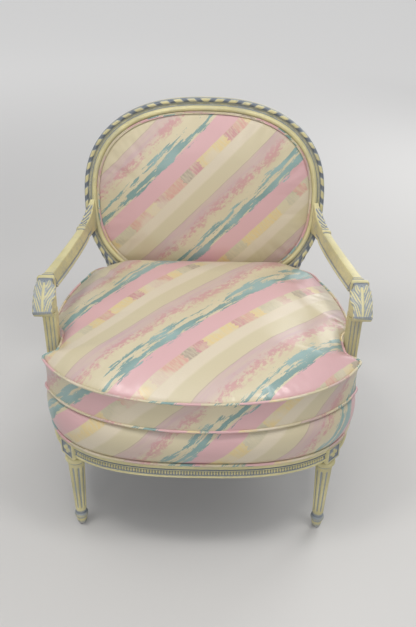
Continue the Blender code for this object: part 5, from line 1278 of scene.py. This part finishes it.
def loop_normals(points):
    ahead = loop_ahead(points)
    return unit(np.stack([ahead[:, 1], -ahead[:, 0]], axis=1))


def even_loop(points, step):
    return resample(np.concatenate([points, points[:1]], axis=0), step)[:-1]


def soften(points, passes):
    for _ in range(passes):
        points = (np.roll(points, 1, axis=0) + 2 * points + np.roll(points, -1, axis=0)) / 4
    return points


def signed_place(points):
    """Distance of each point of a loop from the first one, with halves running both ways."""
    place = distances(points, closed=True)
    return np.where(place <= place[-1] / 2, place, place - place[-1])


def tube(name, path, radius, cloth_start, flat_to=(0.0, 0.0, 1.0)):
    """A closed round cord along a flat loop of points, with cloth places running along it."""
    ahead = unit(loop_ahead(path))
    side = unit(np.cross(ahead, np.array(flat_to)))
    over = np.cross(side, ahead)
    turn = np.linspace(0, 2 * math.pi, TUBE_SIDES + 1)[:-1, None]
    grid = path[:, None, :] + radius * (side[:, None, :] * np.cos(turn) + over[:, None, :] * np.sin(turn))
    grid = np.concatenate([grid, grid[:1]], axis=0)
    along = cloth_start[0] + distances(path, closed=True)[:, None]
    around = cloth_start[1] + np.linspace(0, 2 * math.pi * radius, TUBE_SIDES + 1)[None, :]
    cloth = np.stack(np.broadcast_arrays(along, around), axis=2)
    piece = skin(name, grid, caps=False, cloth=cloth, sharp_deg=NO_SHARP_EDGES_DEG)
    clean_mesh(piece.data, 1e-6)
    return piece


print("tube helpers ready")


# %% Panels
def edge_distance(points, outline):
    """Distance from each point to the nearest side of a closed outline."""
    side = np.roll(outline, -1, axis=0) - outline
    away = points[:, None, :] - outline[None, :, :]
    share = np.clip(np.sum(away * side, axis=2) / np.sum(side * side, axis=1), 0, 1)
    return np.min(np.linalg.norm(away - share[:, :, None] * side[None, :, :], axis=2), axis=1)


def inside_outline(points, outline):
    """True for points inside a closed outline: a line to one side crosses it an odd number of times."""
    ahead = np.roll(outline, -1, axis=0)
    rise = ahead[:, 1] - outline[:, 1]
    slope = (ahead[:, 0] - outline[:, 0]) / np.where(np.abs(rise) < 1e-9, 1e-9, rise)
    crosses = (outline[None, :, 1] > points[:, None, 1]) != (ahead[None, :, 1] > points[:, None, 1])
    crosses &= points[:, None, 0] < outline[None, :, 0] + slope * (points[:, None, 1] - outline[None, :, 1])
    return crosses.sum(axis=1) % 2 == 1


def panel(name, outline, step, place):
    """A cloth panel of even triangles; place lifts (flat points, distance to the edge) to 3-D."""
    low, high = outline.min(axis=0), outline.max(axis=0)
    lattice = np.array([(x + (row % 2) * step / 2, y)
                        for row, y in enumerate(np.arange(low[1], high[1], step * 0.866))
                        for x in np.arange(low[0], high[0], step)])
    lattice = lattice[inside_outline(lattice, outline)]
    lattice = lattice[edge_distance(lattice, outline) > step * 0.6]
    points, count = np.concatenate([outline, lattice], axis=0), len(outline)
    sides = [(i, (i + 1) % count) for i in range(count)]
    made = delaunay_2d_cdt([Vector(p) for p in points], sides, [], 1, 1e-7)
    flat, faces = np.array([(v.x, v.y) for v in made[0]]), made[2]
    solid = place(flat, edge_distance(flat, outline))
    return new_piece(name, solid.tolist(), faces, corners=[flat[i] for face in faces for i in face])


def sewn(piece):
    """Merges the doubled points of a seam and turns all faces out."""
    clean_mesh(piece.data, 2e-5)
    piece.data.shade_smooth()
    return piece


print("panel helpers ready")

# %% Stuffing by simulation
PRESSURE, CLOTH_FRAMES, CLOTH_MASS = 4.0, 20, 0.25
STRETCH_STIFFNESS, BEND_STIFFNESS = 18, 1.2


def points_of(mesh):
    places = np.empty(len(mesh.vertices) * 3)
    mesh.vertices.foreach_get("co", places)
    return places.reshape(-1, 3)


def evaluated(piece):
    return piece.evaluated_get(bpy.context.evaluated_depsgraph_get())


def puff(piece, held, cap):
    """Blows a piece up with Cloth while the held points stay, then caps the move and subdivides once."""
    clock = time.time()
    start = points_of(piece.data)
    pins = piece.vertex_groups.new(name="held")
    pins.add([int(i) for i in np.nonzero(held)[0]], 1.0, "REPLACE")
    cloth = piece.modifiers.new("stuffing", "CLOTH")
    settings = cloth.settings
    settings.quality, settings.mass = 6, CLOTH_MASS
    settings.tension_stiffness = settings.compression_stiffness = STRETCH_STIFFNESS
    settings.bending_stiffness = BEND_STIFFNESS
    settings.vertex_group_mass = "held"
    settings.use_pressure, settings.uniform_pressure_force = True, PRESSURE
    settings.effector_weights.gravity = 0.0
    cloth.collision_settings.use_collision = False
    cloth.point_cache.frame_start, cloth.point_cache.frame_end = 1, CLOTH_FRAMES
    for number in range(1, CLOTH_FRAMES + 1):
        SCENE.frame_set(number)
    move = points_of(evaluated(piece).data) - start
    length = np.linalg.norm(move, axis=1, keepdims=True)
    move *= np.minimum(1.0, cap / np.maximum(length, 1e-9))
    piece.modifiers.clear()
    piece.vertex_groups.clear()
    piece.data.vertices.foreach_set("co", (start + move).ravel())
    piece.data.update()
    SCENE.frame_set(1)
    finer = piece.modifiers.new("finer", "SUBSURF")
    finer.levels = finer.render_levels = 1
    finer.uv_smooth = "NONE"
    mesh = bpy.data.meshes.new_from_object(evaluated(piece))
    piece.modifiers.clear()
    piece.data = mesh
    mesh.name = piece.name
    print(f"{piece.name}: cloth moved up to {length.max() * 1000:.1f} mm, cap {cap * 1000:.0f} mm, "
          f"{time.time() - clock:.1f} s")


print("stuffing by", CLOTH_FRAMES, "frames of cloth at pressure", PRESSURE)

# %% Cloth of the seat's walls
# The cloth of the top, the boxing and the band below is cut to match at the front middle.
CUSHION_OVERHANG = 0.003
FRONT_EDGE_Y = SEAT_WIDEST_Y - SEAT_FRONT_REACH - CUSHION_OVERHANG


def wall_cloth(place, z):
    """Cloth places of an upright wall of the seat: along the wall, and down from the cushion's upper seam."""
    return np.stack(np.broadcast_arrays(place, FRONT_EDGE_Y + z - CUSHION_HIGH_Z), axis=-1)


print("front edge of the cloth at y", round(FRONT_EDGE_Y, 4))

# %% [markdown]
# ## The spring edge
# The band under the cushion covers the springs: burlap, stuffing and cotton are drawn over a wire edge and
# tacked to the rail, with a welt hiding the tacks. It bulges between its two edges and is drawn in between the
# rear legs. The band is a strip of rings blown up between its held edges, closed by a flat panel on top.

# %% Band and its welt
BAND_RISE = (0.02, 0.06, 0.14, 0.24, 0.37, 0.5, 0.62, 0.74, 0.84, 0.92, 0.97, 1.0)
BAND_OUT = (-0.0045, -0.0005, 0.0030, 0.0058, 0.0082, 0.0090, 0.0083, 0.0062, 0.0024, -0.0028, -0.0090, -0.0160)
BAND_REAR_Y, BAND_BETWEEN_LEGS_Y, UNDER_BACK_RAIL_Z = 0.508, 0.511, 0.3555
WELT_RADIUS, WELT_PROUD, BAND_CAP = 0.0034, 0.0012, 0.004
deck_line = plan_points(np.linspace(-90, 270, 4001)[:-1])
deck_line[:, 1] = np.minimum(deck_line[:, 1], BAND_REAR_Y)
deck_line = soften(even_loop(deck_line, 0.006), 3)
deck_out, deck_place = loop_normals(deck_line), signed_place(deck_line)
deck_low, deck_height = RAIL_TOP_Z + GLUE_GAP, DECK_TOP_Z - RAIL_TOP_Z - GLUE_GAP
pucker = 0.0005 * np.sin(deck_place[:-1] / 0.011) * np.sin(deck_place[:-1] / 0.047 + 1.0)
band_rings, band_rows, band_cloth = [], [], []
for rise, out in zip(BAND_RISE, BAND_OUT):
    z = deck_low + deck_height * rise
    ring = deck_line + deck_out * (out + pucker * (1 - abs(2 * rise - 1)))[:, None]
    by_the_legs = BAND_BETWEEN_LEGS_Y - 0.004 * smooth(0.170, 0.205, np.abs(ring[:, 0]))
    ring[:, 1] = np.minimum(ring[:, 1], by_the_legs if z < UNDER_BACK_RAIL_Z else back_plane_y(z) - 0.006)
    band_rings.append(ring)
    band_rows.append(on_plan(ring, z))
    band_cloth.append(wall_cloth(deck_place, z))
band_piece = skin("spring_edge", np.array(band_rows), caps=False, cloth=np.array(band_cloth),
                  sharp_deg=NO_SHARP_EDGES_DEG)
held_rows = np.array([rise < 0.05 or rise > 0.955 for rise in BAND_RISE])
puff(band_piece, np.repeat(held_rows, len(deck_line)), BAND_CAP)
deck_top = panel("deck_top", band_rings[-1], 0.03, lambda flat, edge: on_plan(flat, DECK_TOP_Z))
band_piece = joined([band_piece, deck_top], "spring_edge")
seat(band_piece, seat_cotton, "striped_cotton", "frame", "spring_deck")

welt_ring = deck_line + deck_out * WELT_PROUD
welt_ring[:, 1] = np.minimum(welt_ring[:, 1], BAND_BETWEEN_LEGS_Y)
welt = tube("spring_edge_welt", on_plan(welt_ring, deck_low + WELT_RADIUS), WELT_RADIUS, (0.031, FRONT_EDGE_Y))
seat(welt, seat_cotton, "striped_cotton", "frame")

# %% [markdown]
# ## The dust cover
# A thin black cambric is tacked under the rails to catch dust from the webbing. It is cut round the legs,
# pulled tight, and sinks a few millimetres in the middle with age. It is a panel like the others, without
# stuffing.

# %% Dust cover
COVER_INSET, COVER_REAR_Y, COVER_SAG, LEG_ROOM = 0.016, 0.486, 0.005, 0.037
cover_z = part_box("dust_cover")[0][2] + 0.0005
cover_line = plan_points(np.linspace(-90, 270, 1201)[:-1])
cover_line -= plan_normals(cover_line) * COVER_INSET
cover_line[:, 1] = np.minimum(cover_line[:, 1], COVER_REAR_Y)
cover_line = even_loop(cover_line, 0.006)
for leg_x, leg_y in (BLOCK_CENTRE, (REAR_LEG_X, REAR_LEG_Y)):
    for _, side in SIDES:
        middle = np.array([side * leg_x, leg_y])
        inward = unit(np.array([0.0, SEAT_WIDEST_Y]) - middle)
        away = cover_line - middle
        near = np.linalg.norm(away, axis=1) < LEG_ROOM
        turned = away - 2 * np.minimum(away @ inward, 0)[:, None] * inward + 0.004 * inward
        cover_line[near] = (middle + LEG_ROOM * unit(turned))[near]
cover_line = soften(even_loop(cover_line, 0.008), 1)
dust_sheet = panel("stretched_dust_cover", cover_line, 0.016, lambda flat, edge: on_plan(
    flat, cover_z - COVER_SAG * smooth(0.0, 0.22, edge)))
seat(dust_sheet, cambric, "black_cambric", "frame", "dust_cover")

# %% [markdown]
# ## The T cushion
# The loose cushion is T-shaped: its ears reach in front of the posts, and two bays leave room for them. It is
# sewn from a top, a bottom and a boxing strip, with a welt in both seams. The outline is drawn once, as for
# the solid. The seams are held while the Cloth blows the top up, so the crown rises from the welt.

# %% Cushion outline
EAR_HALF_WIDTH, EAR_Y, EAR_FULLNESS = SEAT_HALF_WIDTH + 0.018, 0.086, 2.2
BAY_X, BAY_FRONT, BAY_REAR = POST_X - 0.0135 - 0.004, POST_Y - 0.046, POST_Y + 0.046
CUSHION_REAR_Y = back_plane_y(DECK_TOP_Z) - 0.018
SIDE_INSET, CORNER_WIDTH, CORNER_LENGTH = 0.003, 0.065, 0.050


def cushion_half():
    """Right half of the outline: the bowed front, the ear, the bay, the side and the rear corner."""
    reach = SEAT_FRONT_REACH + CUSHION_OVERHANG
    ear_x = EAR_HALF_WIDTH * (1 - ((SEAT_WIDEST_Y - EAR_Y) / reach) ** EAR_FULLNESS) ** (1 / EAR_FULLNESS)
    angle = math.pi / 2 * (1 - np.linspace(0, 1, 400))
    x = EAR_HALF_WIDTH * np.cos(angle) ** (2 / EAR_FULLNESS)
    y = SEAT_WIDEST_Y - reach * np.sin(angle) ** (2 / EAR_FULLNESS)
    half = [(px, py) for px, py in zip(x, y) if px <= ear_x]
    side_x = plan_half_width(BAY_REAR) - SIDE_INSET
    half += [(ear_x - 0.003, EAR_Y + 0.004), (mix(ear_x, BAY_X, 0.55), mix(EAR_Y, BAY_FRONT, 0.75)),
             (mix(ear_x, BAY_X, 0.92), BAY_FRONT + 0.004)]
    half += [(mix(BAY_X, side_x, over), mix(BAY_FRONT, BAY_REAR, back)) for over, back in (
        (0, 0.3), (0, 0.72), (0.12, 0.9))]
    half.append((mix(BAY_X, side_x, 0.75), BAY_REAR + 0.010))
    corner_y = CUSHION_REAR_Y - CORNER_LENGTH
    for side_y in mix(BAY_REAR, corner_y, np.linspace(0.14, 1.0, 12)):
        half.append((plan_half_width(side_y) - SIDE_INSET, side_y))
    corner_x = half[-1][0]
    for turn in np.radians((15, 30, 45, 60, 75)):
        half.append((corner_x - CORNER_WIDTH * (1 - math.cos(turn)), corner_y + CORNER_LENGTH * math.sin(turn)))
    return np.array(half + [(0.14, CUSHION_REAR_Y), (0.0, CUSHION_REAR_Y)])


right_half = cushion_half()
CUSHION_LOOP = np.concatenate([right_half, right_half[-2:0:-1] * np.array([-1, 1])], axis=0)
CUSHION_LOOP = soften(even_loop(CUSHION_LOOP, 0.002), 14)
start_index = int(np.argmin(CUSHION_LOOP[:, 1] + 10 * np.abs(CUSHION_LOOP[:, 0])))
CUSHION_LOOP = even_loop(np.roll(CUSHION_LOOP, -start_index, axis=0), 0.0085)
print("cushion outline of", len(CUSHION_LOOP), "points")

# %% Cushion shell
SEAM_LOW, SEAM_HIGH = CUSHION_LOW_Z + WELT_RADIUS, CUSHION_HIGH_Z - WELT_RADIUS
CROWN_AT = (0.0, 0.006, 0.018, 0.036, 0.078, 0.138, 0.200, 0.300)
CROWN_RISE = (0.0, 0.15, 0.36, 0.56, 0.79, 0.93, 0.99, 1.0)
REAR_CROWN_RISE = (0.0, 0.34, 0.74, 0.93, 1.0, 1.0, 1.0, 1.0)
SLIM = 0.004


def lean_back(flat, z):
    """Places of the cushion at a height: towards the rear they lean with the back."""
    share = np.clip((flat[:, 1] - SEAT_WIDEST_Y) / (CUSHION_REAR_Y - SEAT_WIDEST_Y), 0, 1)
    y = flat[:, 1] + (z - DECK_TOP_Z) * math.tan(RAKE) * share ** 2
    return on_plan(np.stack([flat[:, 0], y], axis=1), z)


def cushion_top_place(flat, edge):
    rear = smooth(0.270, 0.400, flat[:, 1]) * fade(0.185, 0.280, np.abs(flat[:, 0]))
    rise = mix(curve(CROWN_AT, CROWN_RISE, edge), curve(CROWN_AT, REAR_CROWN_RISE, edge), rear)
    place = lean_back(flat, SEAM_HIGH)
    place[:, 2] = SEAM_HIGH + (CUSHION_CROWN - SLIM) * rise
    return place


def strip(name, rows, heights):
    """An open strip of cushion cloth between rows of points, cut to the heights given."""
    cloth = np.array([wall_cloth(cushion_place, z) for z in heights])
    return skin(name, np.array(rows), caps=False, cloth=cloth, sharp_deg=NO_SHARP_EDGES_DEG)


cushion_out, cushion_place = loop_normals(CUSHION_LOOP), signed_place(CUSHION_LOOP)
box_shares = np.linspace(0, 1, 9)
box_heights = mix(SEAM_LOW, SEAM_HIGH, box_shares)
box_rows = [lean_back(CUSHION_LOOP + cushion_out * (-0.0035 * math.sin(math.pi * share)), z)
            for share, z in zip(box_shares, box_heights)]
print("boxing rows", len(box_rows))

# %% Sew and stuff the cushion
REAR_LIFT, SEAM_SLACK, CUSHION_CAP = 0.007, 0.0008, 0.016
top_piece = panel("cushion_top", CUSHION_LOOP, 0.010, cushion_top_place)
cushion = sewn(joined([strip("cushion_boxing", box_rows, box_heights), top_piece], "stuffed_cushion"))
heights = np.array([v.co.z for v in cushion.data.vertices])
puff(cushion, (heights < SEAM_LOW + SEAM_SLACK) | (np.abs(heights - SEAM_HIGH) < SEAM_SLACK), CUSHION_CAP)
for vertex in cushion.data.vertices:
    stuffing = min(max((vertex.co.z - SEAM_HIGH) / 0.030, 0.0), 1.0)
    middle = float(fade(0.140, 0.250, abs(vertex.co.x)))
    vertex.co.z += REAR_LIFT * stuffing * middle * float(smooth(0.10, 0.46, vertex.co.y - SHIFT_Y))
print("cushion crown at", round(max(v.co.z for v in cushion.data.vertices), 4))

# %% Close the cushion and lay its welts
CUSHION_WELT_RADIUS, CUSHION_WELT_PROUD, BOTTOM_INSET = 0.0030, 0.0008, 0.004
low_z = CUSHION_LOW_Z + GLUE_GAP
low_loop = CUSHION_LOOP - cushion_out * BOTTOM_INSET
low_piece = panel("cushion_bottom", low_loop, 0.03, lambda flat, edge: lean_back(flat, low_z))
rim = strip("cushion_rim", [lean_back(low_loop, low_z), box_rows[0]], (SEAM_LOW - 0.005, SEAM_LOW))
cushion = sewn(joined([cushion, rim, low_piece], "stuffed_cushion"))
seat(cushion, seat_cotton, "striped_cotton", "cushion", "seat_cushion")
fine_loop = even_loop(CUSHION_LOOP, 0.004)
for welt_name, z, shift in (("cushion_upper_welt", SEAM_HIGH, 0.05), ("cushion_lower_welt", SEAM_LOW, 0.11)):
    path = lean_back(fine_loop + loop_normals(fine_loop) * CUSHION_WELT_PROUD, z)
    welt = tube(welt_name, path, CUSHION_WELT_RADIUS, (shift, FRONT_EDGE_Y))
    seat(welt, seat_cotton, "striped_cotton", "cushion")

# %% [markdown]
# ## The back
# The inside back is a stuffed pad drawn into the oval's rabbet, with a double welt glued over the tacks. The
# outside back is a flatter panel of the same cotton. The pad is one panel, domed on the leaning back plane,
# held at its edge and blown up a little. The outside back hardly swells, so it is drawn as rings.

# %% Back pad
PAD_INSET, PAD_EDGE_DEPTH, PAD_CROWN, PAD_CAP = 0.0382, 0.0036, 0.0205, 0.004
PAD_AT = (0.0, 0.007, 0.030, 0.072, 0.140, 0.230)
PAD_RISE = (0.0, 0.22, 0.52, 0.78, 0.95, 1.0)


def on_back(point):
    """World point to its place across and up the back plane."""
    behind = point.y - SHIFT_Y - back_plane_y(OVAL_CENTRE_Z)
    return point.x, (point.z - OVAL_CENTRE_Z) * math.cos(RAKE) + behind * math.sin(RAKE)


def oval_inset(inset, step):
    points = oval_run(90, 450, step)[0][:-1]
    return points - superellipse_normals(points, *OVAL) * inset


pad_line = oval_inset(PAD_INSET, 0.0085)
pad = sewn(panel("stuffed_back_pad", pad_line, 0.010, lambda flat, edge: from_back(
    flat[:, 0], mix(PAD_EDGE_DEPTH, -PAD_CROWN, curve(PAD_AT, PAD_RISE, edge)), flat[:, 1])))
on_edge = edge_distance(np.array([on_back(v.co) for v in pad.data.vertices]), pad_line) < 0.001
puff(pad, on_edge, PAD_CAP)
seat(pad, back_cotton, "striped_cotton", "frame", "back_pad")

# %% Double welt and outside back
BACK_CORD_RADIUS, RABBET_INSET, BACK_CORD_DEPTH = 0.0016, 0.0327, 0.0006
OUTSIDE_INSET, OUTSIDE_CUT = 0.0264, np.array([0.62, 0.21])
# Share of the outline and depth into the back, from the rabbet to the middle of the panel.
OUTSIDE_RINGS = ((1.0, 0.0214), (1.0, 0.0246), (0.992, 0.0258), (0.97, 0.0264), (0.9, 0.0273), (0.7, 0.0288),
                 (0.4, 0.0297), (0.1, 0.0299))
cords = []
for number, radii in enumerate((1, 2.8)):
    line = oval_inset(RABBET_INSET + radii * BACK_CORD_RADIUS, 0.004)
    path = from_back(line[:, 0], BACK_CORD_DEPTH, line[:, 1])
    cords.append(tube(f"back_cord_{number}", path, BACK_CORD_RADIUS, (0.04 * number, 0.0),
                      (0.0, math.cos(RAKE), -math.sin(RAKE))))
seat(joined(cords, "double_welt"), back_cotton, "striped_cotton", "frame", "back_welt")

outside_line = oval_inset(OUTSIDE_INSET, 0.008)
closed_line = np.concatenate([outside_line, outside_line[:1]], axis=0)
outside_rows = [from_back(outside_line[:, 0] * share, depth, outside_line[:, 1] * share)
                for share, depth in OUTSIDE_RINGS]
outside_cloth = [closed_line * share * np.array([-1, 1]) + OUTSIDE_CUT for share, _ in OUTSIDE_RINGS]
outside_back = skin("outside_back", np.array(outside_rows), cloth=np.array(outside_cloth),
                    sharp_deg=NO_SHARP_EDGES_DEG)
seat(outside_back, back_cotton, "striped_cotton", "frame", "outside_back_panel")
